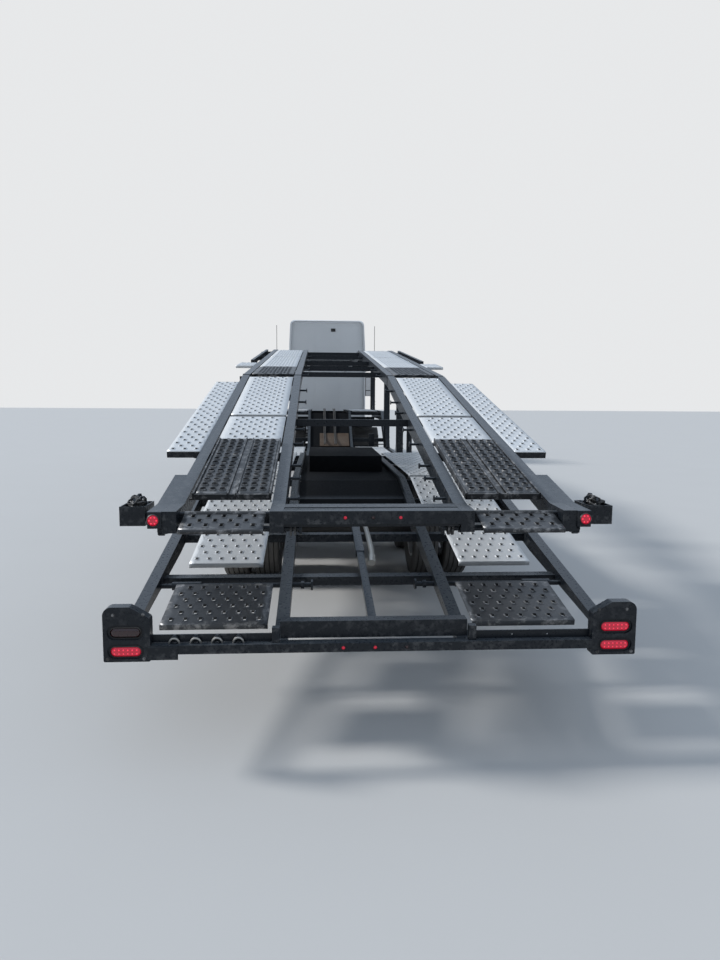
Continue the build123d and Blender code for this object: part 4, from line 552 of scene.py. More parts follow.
# %% [markdown]
# The grip plates are what one sees of this truck: bright sheets pressed with rows of raised, open cups that bite a
# tyre in the wet. Each sheet lies on a slope of its own, so its place is read from its CAD solid: the solid's
# separate parts are found by walking along their edges, and the largest face of each gives the slope.

# %% Reading separate solids of a node
def separate(bm):
    """The vertices of each connected part of a bmesh, in the order they are met."""
    left, parts = set(bm.verts), []
    for first in bm.verts:
        if first not in left:
            continue
        left.discard(first)
        part, open_ends = [], [first]
        while open_ends:
            vert = open_ends.pop()
            part.append(vert)
            for link in vert.link_edges:
                other = link.other_vert(vert)
                if other in left:
                    left.discard(other)
                    open_ends.append(other)
        parts.append(part)
    return parts


def boxes(node):
    """The lowest and highest corner of each separate solid of a node."""
    bm = node_mesh(node)
    found = []
    for part in separate(bm):
        reach = list(zip(*(vert.co for vert in part)))
        found.append((Vector([min(axis) for axis in reach]), Vector([max(axis) for axis in reach])))
    bm.free()
    return found


def sheets(node):
    """Where each flat sheet of a node lies: a matrix from its own middle, with Z out of its top, and its size."""
    bm = node_mesh(node)
    found = []
    for part in separate(bm):
        inside = set(part)
        top = max((f for f in bm.faces if f.verts[0] in inside and f.normal.z > 0.5), key=lambda f: f.calc_area())
        across, normal = Vector((1, 0, 0)), top.normal.copy()
        along = normal.cross(across)
        spans = []
        for axis in (across, along, normal):
            reach = [v.co.dot(axis) for v in part]
            spans.append((min(reach), max(reach)))
        surface = top.verts[0].co.dot(normal)
        middle = across * sum(spans[0]) / 2 + along * sum(spans[1]) / 2 + normal * surface
        turn = Matrix((across, along, normal)).transposed().to_4x4()
        found.append((Matrix.Translation(middle) @ turn, spans[0][1] - spans[0][0], spans[1][1] - spans[1][0]))
    bm.free()
    return found


print("rear deck sheets", [(round(width, 3), round(length, 3)) for _, width, length in sheets("rear_deck_plates")])

# %% [markdown]
# A cup could be a boolean cut, but thousands of them would be slow and untidy. Instead the sheet starts as a grid
# whose crossings are where the cups go. Bevelling a crossing opens it into an eight-sided patch; insetting the patch
# with a depth raises its rim; and deleting what is left inside opens the hole. A Solidify modifier then gives the
# whole sheet its thickness at once.

# %% A pressed sheet
LIP_DEPTH = 0.030


def grown_verts(result):
    """The new vertices among what an extrusion gives back."""
    return [part for part in result["geom"] if isinstance(part, bmesh.types.BMVert)]


def pressed(width, length, spots_across, spots_along, pitch_across, pitch_along, staggered, cup, lip=LIP_DEPTH):
    """A flat sheet about its own middle with raised open cups on a grid of spots, and its two ends turned down."""
    bm = bmesh.new()
    grime = bm.verts.layers.float.new("grime")
    bmesh.ops.create_grid(bm, x_segments=spots_across + 1, y_segments=spots_along + 1, size=1.0)
    columns, rows = spots_across + 1, spots_along + 1
    chosen = []
    for vert in bm.verts:
        i, j = round((vert.co.x + 1) / 2 * columns), round((vert.co.y + 1) / 2 * rows)
        edge_x, edge_y = i in (0, columns), j in (0, rows)
        vert.co.x = math.copysign(width / 2, vert.co.x) if edge_x else (i - columns / 2) * pitch_across
        vert.co.y = math.copysign(length / 2, vert.co.y) if edge_y else (j - rows / 2) * pitch_along
        if not edge_x and not edge_y and ((i + j) % 2 == 0 or not staggered):
            chosen.append(vert)
    opened = bmesh.ops.bevel(bm, geom=chosen, offset=cup["foot"], offset_type="OFFSET", segments=2, profile=0.5,
                             affect="VERTICES", material=-1)
    # The bevel leaves a star: its inner corners are pushed out to make the patch round
    for vert in {v for face in opened["faces"] for v in face.verts}:
        spot = Vector(((round(vert.co.x / pitch_across + columns / 2) - columns / 2) * pitch_across,
                       (round(vert.co.y / pitch_along + rows / 2) - rows / 2) * pitch_along, 0))
        out = vert.co - spot
        # The patch's own middle corner stays where it is
        if out.length > cup["foot"] * 0.2:
            vert.co = spot + out.normalized() * cup["foot"]
    bmesh.ops.inset_region(bm, faces=opened["faces"], thickness=cup["rim"], depth=cup["rise"], use_even_offset=True)
    inside = [f for f in opened["faces"] if f.is_valid]
    bmesh.ops.inset_region(bm, faces=inside, thickness=cup["throat"], depth=-cup["depth"], use_even_offset=True)
    # Corners down in each hole are marked for the painted shade and dirt there
    for face in inside:
        for vert in face.verts:
            vert[grime] = 1.0
    bmesh.ops.delete(bm, geom=inside, context="FACES")
    if lip:
        ends = [e for e in bm.edges if e.is_boundary and all(abs(abs(v.co.y) - length / 2) < 1e-6 for v in e.verts)]
        folded = bmesh.ops.extrude_edge_only(bm, edges=ends)
        bmesh.ops.translate(bm, vec=(0, 0, -lip), verts=grown_verts(folded))
    return bm


def bar(bm, lo, hi):
    """A rectangular bar between two corners."""
    size, middle = Vector(hi) - Vector(lo), (Vector(hi) + Vector(lo)) / 2
    bmesh.ops.create_cube(bm, size=1.0, matrix=Matrix.Translation(middle) @ Matrix.Diagonal((*size, 1.0)))


def join_into(target, source, matrix=Matrix.Identity(4)):
    """Moves one bmesh into another through a matrix, and frees it."""
    bmesh.ops.transform(source, matrix=matrix, verts=source.verts)
    held = bpy.data.meshes.new("held")
    source.to_mesh(held)
    source.free()
    target.from_mesh(held)
    bpy.data.meshes.remove(held)


def thicken(piece, thickness):
    """Gives a sheet its metal, below its top face."""
    metal = piece.modifiers.new("metal", "SOLIDIFY")
    metal.thickness, metal.offset = thickness, -1.0


# %% [markdown]
# All the bright sheets share one cup and one spacing across. Along the sheet, the lower runways have wider rows, since
# so many small cups would make their piece too heavy. The narrow walk plates outside the rails lie on black channels,
# whose ends one sees from behind, and the plates just over the knee are black steel, as the ramps are.

# %% Deck sheets
PITCH_ACROSS, PITCH_ALONG, LOWER_PITCH_ALONG = 0.077, 0.072, 0.102
CUP = {"foot": 0.0255, "rim": 0.0055, "rise": 0.0050, "throat": 0.0012, "depth": 0.014}
EDGE_MARGIN, SHEET_THICK = 0.030, 0.0045
# The station where the black plates over the knee end, and the width below which a sheet is a walk plate
DARK_PLATES_END, WALK_WIDTH = 5.3, 0.3
# A walk plate's channel: the thickness and depth of its bars, and how round their edges are
WALK_BAR, WALK_DEEP, BAR_EDGE = 0.008, 0.045, 0.0015
SHEETS = {"rear_deck_plates": "plate_aluminium", "mid_deck_plates": "plate_aluminium",
          "front_deck_plates": "plate_aluminium", "lower_deck_plates": "plate_aluminium",
          "lower_tail_plates": "worn_plate"}


def odd_below(number):
    """The largest odd whole number that isn't above this one."""
    whole = int(number + 1e-6)
    return whole if whole % 2 else whole - 1


def cups_across(width):
    """How many half steps of the staggered pattern fit across a sheet: an odd number, so it ends as it begins."""
    return odd_below((width - 2 * EDGE_MARGIN) / (PITCH_ACROSS / 2) + 1)


def grip_sheet(width, length, lip=LIP_DEPTH, pitch_along=PITCH_ALONG):
    """A bright deck sheet: staggered rows of cups, four and five to the row on a deck plate."""
    across, along = max(3, cups_across(width)), max(2, round((length - EDGE_MARGIN) / pitch_along))
    return pressed(width, length, across, along, PITCH_ACROSS / 2, (length - EDGE_MARGIN) / along, True, CUP, lip)


def walk_channel(width, length):
    """The channel under a walk plate: bars on edge along its sides and across its ends."""
    channel = bmesh.new()
    for side in (-1, 1):
        across = sorted((side * width / 2, side * (width / 2 - WALK_BAR)))
        bar(channel, (across[0], -length / 2, -WALK_DEEP), (across[1], length / 2, -SHEET_THICK))
        along = sorted((side * length / 2, side * (length / 2 - WALK_BAR)))
        bar(channel, (-width / 2, along[0], -WALK_DEEP), (width / 2, along[1], -SHEET_THICK))
    return channel


walk_frames = bmesh.new()
for node, material in SHEETS.items():
    whole, dark = bmesh.new(), bmesh.new()
    pitch = LOWER_PITCH_ALONG if node == "lower_deck_plates" else PITCH_ALONG
    for matrix, width, length in sheets(node):
        if node == "rear_deck_plates" and width < WALK_WIDTH:
            join_into(whole, grip_sheet(width, length, 0.0), matrix)
            join_into(walk_frames, walk_channel(width, length), matrix)
            continue
        near_knee = node == "mid_deck_plates" and matrix.translation.y < place(DARK_PLATES_END) and width > WALK_WIDTH
        join_into(dark if near_knee else whole, grip_sheet(width, length, pitch_along=pitch), matrix)
    if dark.verts:
        thicken(finish_piece(node + "_dark", dark, "worn_plate", BODY_OF[node], (node,)), SHEET_THICK)
    else:
        dark.free()
    piece = finish_piece(node + "_pressed", whole, material, BODY_OF[node], (node,))
    thicken(piece, SHEET_THICK)
    stored = piece.data.attributes["grime"].data
    print(node, "faces", len(piece.data.polygons), "corners down in holes", sum(d.value > 0.5 for d in stored))
finish_piece("walk_plate_channels", walk_frames, "frame_paint", "rear_deck", (), BAR_EDGE)

# %% [markdown]
# The loading ramps are heavier: two strips side by side, each with three straight columns of tall open cups, between
# flat bars that stand on edge. They are black steel, worn bright on the rims of the cups, where tyres have rubbed.

# %% Loading ramps
RAMP_CUP = {"foot": 0.0215, "rim": 0.0045, "rise": 0.0105, "throat": 0.0012, "depth": 0.020}
RAMP_ROWS, RAMP_COLUMNS, RAMP_PITCH = 13, 3, 0.053
# How much shorter than the ramp its strips and its rows of cups are, and how far the strips lie above the CAD's top
STRIP_SHORT, ROWS_SHORT, STRIP_LIFT, STRIP_THICK = 0.03, 0.06, 0.002, 0.0035
# Bars on edge: their width, how far they reach down and up, and the width of the gutter between the strips
BAR_WIDE, BAR_DEEP, BAR_PROUD, GUTTER = 0.010, 0.032, 0.008, 0.034
END_BAR, END_PROUD = 0.014, 0.001
GUTTER_FLOOR = (-0.006, -0.002)


def pole(bm, start, end, radius, sides=12, radius_end=None):
    """A round bar from one point to another."""
    a, b = Vector(start), Vector(end)
    turn = (b - a).to_track_quat("Z", "Y").to_matrix().to_4x4()
    bmesh.ops.create_cone(bm, cap_ends=True, cap_tris=False, segments=sides, radius1=radius,
                          radius2=radius if radius_end is None else radius_end, depth=(b - a).length,
                          matrix=Matrix.Translation((a + b) / 2) @ turn)


strips, bars = bmesh.new(), bmesh.new()
for matrix, width, length in sheets("loading_ramps"):
    strip = (width - GUTTER) / 2 - BAR_WIDE
    for side in (-1, 1):
        cups = pressed(strip, length - STRIP_SHORT, RAMP_COLUMNS, RAMP_ROWS, RAMP_PITCH,
                       (length - ROWS_SHORT) / RAMP_ROWS, False, RAMP_CUP, lip=0.0)
        join_into(strips, cups, matrix @ Matrix.Translation((side * (GUTTER + strip) / 2, 0, STRIP_LIFT)))
    frame_bars = bmesh.new()
    for x in (-width / 2, -GUTTER / 2 - BAR_WIDE, GUTTER / 2, width / 2 - BAR_WIDE):
        bar(frame_bars, (x, -length / 2, -BAR_DEEP), (x + BAR_WIDE, length / 2, BAR_PROUD))
    for y in (-length / 2, length / 2 - END_BAR):
        bar(frame_bars, (-width / 2, y, -BAR_DEEP), (width / 2, y + END_BAR, END_PROUD))
    bar(frame_bars, (-GUTTER / 2, -length / 2, GUTTER_FLOOR[0]), (GUTTER / 2, length / 2, GUTTER_FLOOR[1]))
    join_into(bars, frame_bars, matrix)
ramps = finish_piece("loading_ramp_strips", strips, "worn_plate", "rear_deck", ("loading_ramps",))
thicken(ramps, STRIP_THICK)
finish_piece("loading_ramp_bars", bars, "black_plate", "rear_deck", ("loading_ramps",), BAR_EDGE)
print("ramp faces", len(ramps.data.polygons))

# %% [markdown]
# The flaps at the tail are short sheets of the same black steel, pressed with the deck's own cups. Both their ends are
# round: the rear one is the free edge, rolled under, and the thicker one ahead is the tube about the hinge's pin.

# %% Tail flaps
FLAP_ROWS, FLAP_PITCH, FLAP_SHORT, FLAP_LIP = 3, 0.056, 0.03, 0.012
FINE_EDGE = 0.001
# Round ends: which end, its radius, and the height of its middle against the sheet's top
ROLLED_ENDS = ((-1, 0.012, -0.011), (1, 0.016, -0.006))
for node in ("tail_flap_left", "tail_flap_right"):
    (matrix, width, length), = sheets(node)
    flap = pressed(width, length - FLAP_SHORT, cups_across(width), FLAP_ROWS, PITCH_ACROSS / 2, FLAP_PITCH, True, CUP,
                   lip=FLAP_LIP)
    bmesh.ops.transform(flap, matrix=matrix, verts=flap.verts)
    sheet = finish_piece(node + "_pressed", flap, "worn_plate", BODY_OF[node], (node,))
    thicken(sheet, SHEET_THICK)
    rolled = bmesh.new()
    for end, radius, middle in ROLLED_ENDS:
        y = end * (length / 2 - radius)
        pole(rolled, (-width / 2, y, middle), (width / 2, y, middle), radius)
    bmesh.ops.transform(rolled, matrix=matrix, verts=rolled.verts)
    finish_piece(node + "_ends", rolled, "black_plate", BODY_OF[node], (node,), FINE_EDGE)
print("flap faces", len(sheet.data.polygons))

# %% [markdown]
# A tyre is one section spun about its axle. The section is written as shares of its height and half width, from bead
# to bead, with four grooves cut into the tread. After the spin, every few faces of the shoulder ribs are pushed in to
# make the lateral slots that a tractor's drive tyres have. Two numbers are stored on each corner for the rubber
# finish: how much it belongs to the tread, and its distance from the axle.

# %% Tyres
TYRE_STEPS = 72
RIM_RADIUS = 0.292
# How deep a groove is, half its width at the top, and its floor's share of that
GROOVE_DEPTH, GROOVE_HALF, GROOVE_FLOOR = 0.013, 0.0055, 0.6
# The sidewall from bead to shoulder: share of the half width, share of the height between rim and tread
SIDEWALL = ((0.80, 0.0), (0.86, 0.06), (0.93, 0.20), (0.985, 0.38), (1.0, 0.52), (0.985, 0.66), (0.945, 0.82),
            (0.915, 0.93), (0.87, 0.985))
TREAD_EDGE, GROOVES = 0.84, (-0.58, -0.20, 0.20, 0.58)
# Slots across the ribs: where they begin, as a share of the half width, their chamfer and their depth
SLOT_FROM, SLOT_CHAMFER, SLOT_DEPTH = 0.22, 0.004, 0.011
# A rib's face lies this close to the outer radius; the rubber turns to tread from this far below it, over this much
TREAD_SKIN, TREAD_BAND, TREAD_BLEND = 0.003, 0.03, 0.02
# Wheels: a slot every so many steps of the tyre or none, and how far out of its middle the nuts' face is
WHEELS = {"steer_tyre": (0, 0.082), "drive1_tyres": (3, 0.012), "drive2_tyres": (3, 0.012),
          "trailer1_tyres": (0, 0.012), "trailer2_tyres": (0, 0.012)}


def tyre_section(half, rim_radius, radius):
    """Points of a closed section, as distance across and distance from the axle."""
    tall = radius - rim_radius
    side = [(-share * half, rim_radius + rise * tall) for share, rise in SIDEWALL]
    tread = [(-TREAD_EDGE * half, radius)]
    for share in GROOVES:
        x, floor_half = share * half, GROOVE_HALF * GROOVE_FLOOR
        tread += [(x - GROOVE_HALF, radius), (x - floor_half, radius - GROOVE_DEPTH),
                  (x + floor_half, radius - GROOVE_DEPTH), (x + GROOVE_HALF, radius)]
    tread.append((TREAD_EDGE * half, radius))
    return side + tread + [(-x, r) for x, r in reversed(side)]


def tyre(middle, half, rim_radius, radius, slot_every):
    """A tyre about an axle along X, with slots across its ribs every few steps."""
    bm = bmesh.new()
    points = tyre_section(half, rim_radius, radius)
    verts = [bm.verts.new((x, 0, r)) for x, r in points]
    edges = [bm.edges.new((a, b)) for a, b in zip(verts, verts[1:] + verts[:1])]
    bmesh.ops.spin(bm, geom=verts + edges, cent=(0, 0, 0), axis=(1, 0, 0), dvec=(0, 0, 0), angle=math.tau,
                   steps=TYRE_STEPS, use_merge=True)
    bmesh.ops.remove_doubles(bm, verts=bm.verts, dist=MERGE)
    bmesh.ops.recalc_face_normals(bm, faces=bm.faces)
    if slot_every:
        slots = []
        for face in bm.faces:
            spot = face.calc_center_median()
            step = int(math.atan2(spot.y, spot.z) / math.tau * TYRE_STEPS + TYRE_STEPS) % slot_every
            on_tread = abs(math.hypot(spot.y, spot.z) - radius) < TREAD_SKIN
            if step == 0 and on_tread and abs(spot.x) > SLOT_FROM * half:
                slots.append(face)
        bmesh.ops.inset_individual(bm, faces=slots, thickness=SLOT_CHAMFER, depth=-SLOT_DEPTH)
    bmesh.ops.translate(bm, vec=middle, verts=bm.verts)
    return bm


def mark_rubber(mesh, middle, radius):
    """Stores how far each corner belongs to the tread, and its distance from the axle."""
    share = mesh.attributes.new("tread_share", "FLOAT", "POINT")
    ring = mesh.attributes.new("ring", "FLOAT", "POINT")
    for index, vert in enumerate(mesh.vertices):
        out = math.hypot(vert.co.y - middle.y, vert.co.z - middle.z)
        share.data[index].value = min(1.0, max(0.0, (out - radius + TREAD_BAND) / TREAD_BLEND))
        ring.data[index].value = out


for kind, (slot_every, _) in WHEELS.items():
    for label, _ in SIDES:
        node = f"{kind}_{label}"
        whole = bmesh.new()
        for lo, hi in boxes(node):
            middle, radius = (lo + hi) / 2, (hi.z - lo.z) / 2
            join_into(whole, tyre(middle, (hi.x - lo.x) / 2, RIM_RADIUS, radius, slot_every))
        piece = finish_piece(node + "_treaded", whole, "tyre", BODY_OF[node], (node,))
        mark_rubber(piece.data, middle, radius)
print("tyre faces", len(piece.data.polygons))

# %% [markdown]
# A wheel is held by ten nuts on a bolt circle, and its steel is rolled, so its rims are smooth. The CAD rim has the
# right form: it is dressed, and the nuts, their washers and the studs' ends are added as one piece per wheel body.

# %% Rims and wheel nuts
RIM_EDGE = 0.0015
NUTS, NUT_CIRCLE, NUT_RADIUS, NUT_LONG = 10, 0.122, 0.016, 0.026
# The washer under a nut, its radius as a share of the nut's, and the stud's end out of it
WASHER_THICK, WASHER_WIDE = 0.005, 1.25
STUD_LONG, STUD_RADIUS = 0.012, 0.009
for kind, (_, face) in WHEELS.items():
    for label, side in SIDES:
        node = f"{kind}_{label}"
        dress(node.replace("tyre", "rim"), "rim_steel", RIM_EDGE, 1)
        lo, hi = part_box(node)
        middle = (lo + hi) / 2
        nuts = bmesh.new()
        for k in range(NUTS):
            turn = math.tau * (k + 0.5) / NUTS
            foot = middle + Vector((side * face, NUT_CIRCLE * math.cos(turn), NUT_CIRCLE * math.sin(turn)))
            out = Vector((side, 0, 0))
            pole(nuts, foot, foot + out * WASHER_THICK, NUT_RADIUS * WASHER_WIDE, 10)
            pole(nuts, foot + out * WASHER_THICK, foot + out * NUT_LONG, NUT_RADIUS, 6)
            pole(nuts, foot + out * NUT_LONG, foot + out * (NUT_LONG + STUD_LONG), STUD_RADIUS, 8)
        finish_piece(node + "_nuts", nuts, "zinc", BODY_OF[node], (), FINE_EDGE, 1)
print("wheel bodies", len(WHEELS) * len(SIDES))

# %% [markdown]
# The tail lamps are long ovals in rubber grommets, each a domed lens over two rows of diodes; the small markers are
# round. A dome comes from insetting a disc several times, each time a little higher. The grommet is the first ring of
# such an inset, raised further.

# %% A lamp
# Steps of a dome: the share of its depth that each rises, and the share of its end radius that each draws in
DOME_STEPS = ((0.35, 0.14), (0.3, 0.22), (0.2, 0.26))
# The lens's size beside its grommet's, and the grommet's rim: its width as a share of the end radius, and its height
# as a share of the dome's depth
LENS_SHARE = (0.94, 0.90, 1.0)
RING_WIDE, RING_RISE = 0.16, 0.6
LAMP_DEPTH, MARKER_DEPTH = 0.012, 0.006
# Lenses of lamps with diodes stand this far out of the panel, and their diodes' middles this far out of that
LENS_OUT, DIODE_OUT, DIODE_RADIUS = 0.002, 0.0070, 0.0048


def lamp(middle, width, height, depth):
    """Grommet and domed lens facing backward, about a middle point on the panel. Returns two bmeshes."""
    lens_bm = bmesh.new()
    end = height / 2
    bmesh.ops.create_circle(lens_bm, cap_ends=True, segments=32, radius=end)
    for vert in lens_bm.verts:
        vert.co.x += math.copysign(max(0.0, width / 2 - end), vert.co.x) if abs(vert.co.x) > 1e-6 else 0.0
    grommet = lens_bm.copy()
    for rise, inset in DOME_STEPS:
        bmesh.ops.inset_region(lens_bm, faces=[f for f in lens_bm.faces if len(f.verts) > 4], thickness=end * inset,
                               depth=depth * rise, use_boundary=True, use_even_offset=True)
    bmesh.ops.scale(lens_bm, vec=LENS_SHARE, verts=lens_bm.verts)
    ring = bmesh.ops.inset_region(grommet, faces=grommet.faces[:], thickness=end * RING_WIDE, depth=depth * RING_RISE,
                                  use_boundary=True)
    kept = set(ring["faces"])
    bmesh.ops.delete(grommet, geom=[f for f in grommet.faces if f not in kept], context="FACES")
    face_back = Matrix.Translation(middle) @ Matrix.Rotation(math.pi / 2, 4, "X")
    for part in (lens_bm, grommet):
        bmesh.ops.transform(part, matrix=face_back, verts=part.verts)
    return lens_bm, grommet


def diode(bm, at):
    """The small dome of one diode."""
    bmesh.ops.create_uvsphere(bm, u_segments=8, v_segments=5, radius=DIODE_RADIUS, matrix=Matrix.Translation(at))


# %% [markdown]
# Which lamps glow follows the photograph: the left upper oval, the right lower marker and the deck's small middle
# marker are out. Each lamp takes its size and place from its own solid in the CAD.

# %% Tail lamps on the trailer
OVAL_WIDE, UPPER_OVALS, MARKER_OUT_BEYOND = 0.1, 0.6, 0.1
DIODE_ROWS, DIODE_COLUMNS = 2, 6
# The diodes fill this share of an oval's width and height
DIODE_SPAN = (0.82, 0.62)

lit, unlit, grommets, dots_lit, dots_unlit = (bmesh.new() for _ in range(5))
for lo, hi in boxes("tail_lamps"):
    size, middle = hi - lo, (lo + hi) / 2
    oval = size.x > OVAL_WIDE
    left_upper, right_marker = middle.x < 0 and middle.z > UPPER_OVALS, middle.x > MARKER_OUT_BEYOND
    out_of_use = left_upper if oval else right_marker
    middle.y = hi.y - LENS_OUT if oval else hi.y
    face, ring = lamp(middle, size.x, size.z, LAMP_DEPTH if oval else MARKER_DEPTH)
    join_into(unlit if out_of_use else lit, face)
    join_into(grommets, ring)
    if oval:
        for row in range(DIODE_ROWS):
            for column in range(DIODE_COLUMNS):
                across = (column - (DIODE_COLUMNS - 1) / 2) * size.x * DIODE_SPAN[0] / DIODE_COLUMNS
                up = (row - (DIODE_ROWS - 1) / 2) * size.z * DIODE_SPAN[1] / DIODE_ROWS
                diode(dots_unlit if out_of_use else dots_lit, middle + Vector((across, -DIODE_OUT, up)))
finish_piece("tail_lens_unlit", unlit, "lamp_red", "trailer", ("tail_lamps",))
finish_piece("tail_lens_lit", lit, "lamp_lit", "trailer", ("tail_lamps",))
finish_piece("tail_grommets", grommets, "black_plastic", "trailer", ("tail_lamps",))
finish_piece("tail_diodes_unlit", dots_unlit, "lamp_red", "trailer")
finish_piece("tail_diodes_lit", dots_lit, "diode_lit", "trailer")
print("tail lamps", len(boxes("tail_lamps")))

# %% Lamps on the rear deck section
BIG_LAMP_WIDE, MIDDLE_MARKER_WITHIN = 0.05, 0.05
RING_DIODES, DIODE_CIRCLE = 6, 0.017
deck_lit, deck_out, deck_rings, deck_dots = (bmesh.new() for _ in range(4))
for lo, hi in boxes("rear_deck_lamps"):
    size, middle = hi - lo, (lo + hi) / 2
    big = size.x > BIG_LAMP_WIDE
    middle.y = hi.y - LENS_OUT
    face, ring = lamp(middle, size.x, size.z, LAMP_DEPTH if big else MARKER_DEPTH)
    join_into(deck_out if not big and abs(middle.x) < MIDDLE_MARKER_WITHIN else deck_lit, face)
    join_into(deck_rings, ring)
    if big:
        for k in range(RING_DIODES):
            turn = math.tau * k / RING_DIODES
            across, up = DIODE_CIRCLE * math.cos(turn), DIODE_CIRCLE * math.sin(turn)
            diode(deck_dots, middle + Vector((across, -DIODE_OUT, up)))
finish_piece("deck_lens_lit", deck_lit, "lamp_lit", "rear_deck", ("rear_deck_lamps",))
finish_piece("deck_lens_unlit", deck_out, "lamp_red", "rear_deck", ("rear_deck_lamps",))
finish_piece("deck_lamp_rings", deck_rings, "black_plastic", "rear_deck", ("rear_deck_lamps",))
finish_piece("deck_diodes", deck_dots, "diode_lit", "rear_deck")
print("deck lamps", len(boxes("rear_deck_lamps")))

# %% [markdown]
# Wire, chain and hose are one round section carried along a path: a circle at the first point, whose edges are
# extruded and turned from each point to the next. A curve with a bevel would do it too, but this way many of them go
# into one mesh.

# %% A round section along a path
# A circle starts on its Y axis; this turn starts it on X, so that a hexagonal wire lies flat
START_ON_X = Matrix.Rotation(-math.pi / 2, 4, "Z")


def sweep(bm, path, radius, sides=8, closed=False):
    """A round section carried along a list of points, closed into a loop or capped at its ends."""
    places = []
    for index, point in enumerate(path):
        before = path[index - 1] if index or closed else point
        after = path[(index + 1) % len(path)] if index + 1 < len(path) or closed else point
        turn = (after - before).to_track_quat("Z", "Y").to_matrix().to_4x4()
        places.append(Matrix.Translation(point) @ turn @ START_ON_X)
    ring = bmesh.ops.create_circle(bm, cap_ends=not closed, segments=sides, radius=radius, matrix=places[0])["verts"]
    swept, edges = list(ring), list({edge for vert in ring for edge in vert.link_edges})
    for before, after in zip(places, places[1:] + places[:1] * closed):
        grown = bmesh.ops.extrude_edge_only(bm, edges=edges)
        ring = grown_verts(grown)
        bmesh.ops.transform(bm, matrix=after @ before.inverted(), verts=ring)
        edges = [e for e in grown["geom"] if isinstance(e, bmesh.types.BMEdge) and all(v in ring for v in e.verts)]
        swept += ring
    if closed:
        bmesh.ops.remove_doubles(bm, verts=swept, dist=MERGE)
    else:
        bmesh.ops.edgeloop_fill(bm, edges=edges)


def curve_through(points, steps=8):
    """Points of a smooth curve through the given ones."""
    spots = [Vector(p) for p in points]
    padded = [spots[0] * 2 - spots[1]] + spots + [spots[-1] * 2 - spots[-2]]
    path = []
    for a, b, c, d in zip(padded, padded[1:], padded[2:], padded[3:]):
        for k in range(steps):
            t = k / steps
            path.append(0.5 * ((2 * b) + (c - a) * t + (2 * a - 5 * b + 4 * c - d) * t ** 2
                               + (3 * b - a - 3 * c + d) * t ** 3))
    return path + [spots[-1]]


# %% [markdown]
# Chain is what a driver ties cars down with, and it lies in a heap in the open box at each rear corner. One link is a
# stadium path, two half circles of five points each; a heap is many links turned at random, with a fixed seed so that
# the same heap comes out on each run.

# %% Chain in the corner boxes
LINK_LONG, LINK_WIDE, WIRE_RADIUS, WIRE_SIDES, BEND_STEPS = 0.062, 0.036, 0.0055, 6, 4
LINKS = 34
# The heap: its middle across, along and at its foot, how far links stray, its height, and how much it narrows upward
HEAP_X, HEAP_STATION, HEAP_FOOT = 1.23, 0.445, 1.120
HEAP_STRAY, HEAP_TALL, HEAP_NARROWS = (0.035, 0.075), 0.115, 0.35
LINK_TILT = (0.9, 0.7)


def chain_link(bm, matrix):
    """One welded link, its long way along X."""
    half, bend, path = (LINK_LONG - LINK_WIDE) / 2, (LINK_WIDE - 2 * WIRE_RADIUS) / 2, []
    for end, start in ((1, -math.pi / 2), (-1, math.pi / 2)):
        for k in range(BEND_STEPS + 1):
            turn = start + math.pi * k / BEND_STEPS
            path.append(matrix @ Vector((end * half + bend * math.cos(turn), bend * math.sin(turn), 0)))
    sweep(bm, path, WIRE_RADIUS, WIRE_SIDES, closed=True)


rng = random.Random(7)
heap = bmesh.new()
for side in (-1, 1):
    for k in range(LINKS):
        layer = k / LINKS
        spread = 1.0 - HEAP_NARROWS * layer
        x = side * (HEAP_X + rng.uniform(-HEAP_STRAY[0], HEAP_STRAY[0]) * spread)
        station = HEAP_STATION + rng.uniform(-HEAP_STRAY[1], HEAP_STRAY[1]) * spread
        at = Vector((x, place(station), HEAP_FOOT + HEAP_TALL * layer))
        tilt = (rng.uniform(-LINK_TILT[0], LINK_TILT[0]), rng.uniform(-LINK_TILT[1], LINK_TILT[1]))
        turn = Euler((*tilt, rng.uniform(0, math.tau))).to_matrix().to_4x4()
        chain_link(heap, Matrix.Translation(at) @ turn)
bmesh.ops.recalc_face_normals(heap, faces=heap.faces)
chain = finish_piece("corner_box_chain", heap, "axle_iron", "rear_deck")
print("chain faces", len(chain.data.polygons))

# %% [markdown]
# Small hardware makes the size of the thing believable: bolt heads where the deck hinges and the lift cylinders turn,
# hex bolts along the posts, screws on the lamp boxes and toothed wheels on the tie-down shafts. Their places are the
# CAD's own stations, so that each head sits on the pin or plate it holds.

# %% Bolt heads and toothed wheels
# Shares of a bolt head's size: its washer's width and thickness, and how high the head stands
BOLT_WASHER_WIDE, BOLT_WASHER_THICK, HEAD_TALL = 1.25, 0.18, 0.85
TEETH, TOOTH_ROOT, TOOTH_LEAN, WHEEL_THICK = 12, 0.80, 0.35, 0.012


def bolt(bm, at, outward, size):
    """A hexagon head on its washer, facing outward."""
    foot, way = Vector(at), Vector(outward).normalized()
    pole(bm, foot, foot + way * size * BOLT_WASHER_THICK, size * BOLT_WASHER_WIDE, 14)
    pole(bm, foot + way * size * BOLT_WASHER_THICK, foot + way * size * HEAD_TALL, size, 6)


def ratchet(bm, x, y, z, radius):
    """A toothed wheel on a shaft that lies across the vehicle: its outline, extruded. The teeth lean one way."""
    rim = []
    for k in range(TEETH * 2):
        at_tip = k % 2
        reach = radius if at_tip else radius * TOOTH_ROOT
        turn = math.tau * (k + (TOOTH_LEAN if at_tip else 0)) / (TEETH * 2)
        rim.append(bm.verts.new((x, y + reach * math.cos(turn), z + reach * math.sin(turn))))
    grown = bmesh.ops.extrude_face_region(bm, geom=[bm.faces.new(rim)])
    bmesh.ops.translate(bm, vec=(WHEEL_THICK, 0, 0), verts=grown_verts(grown))


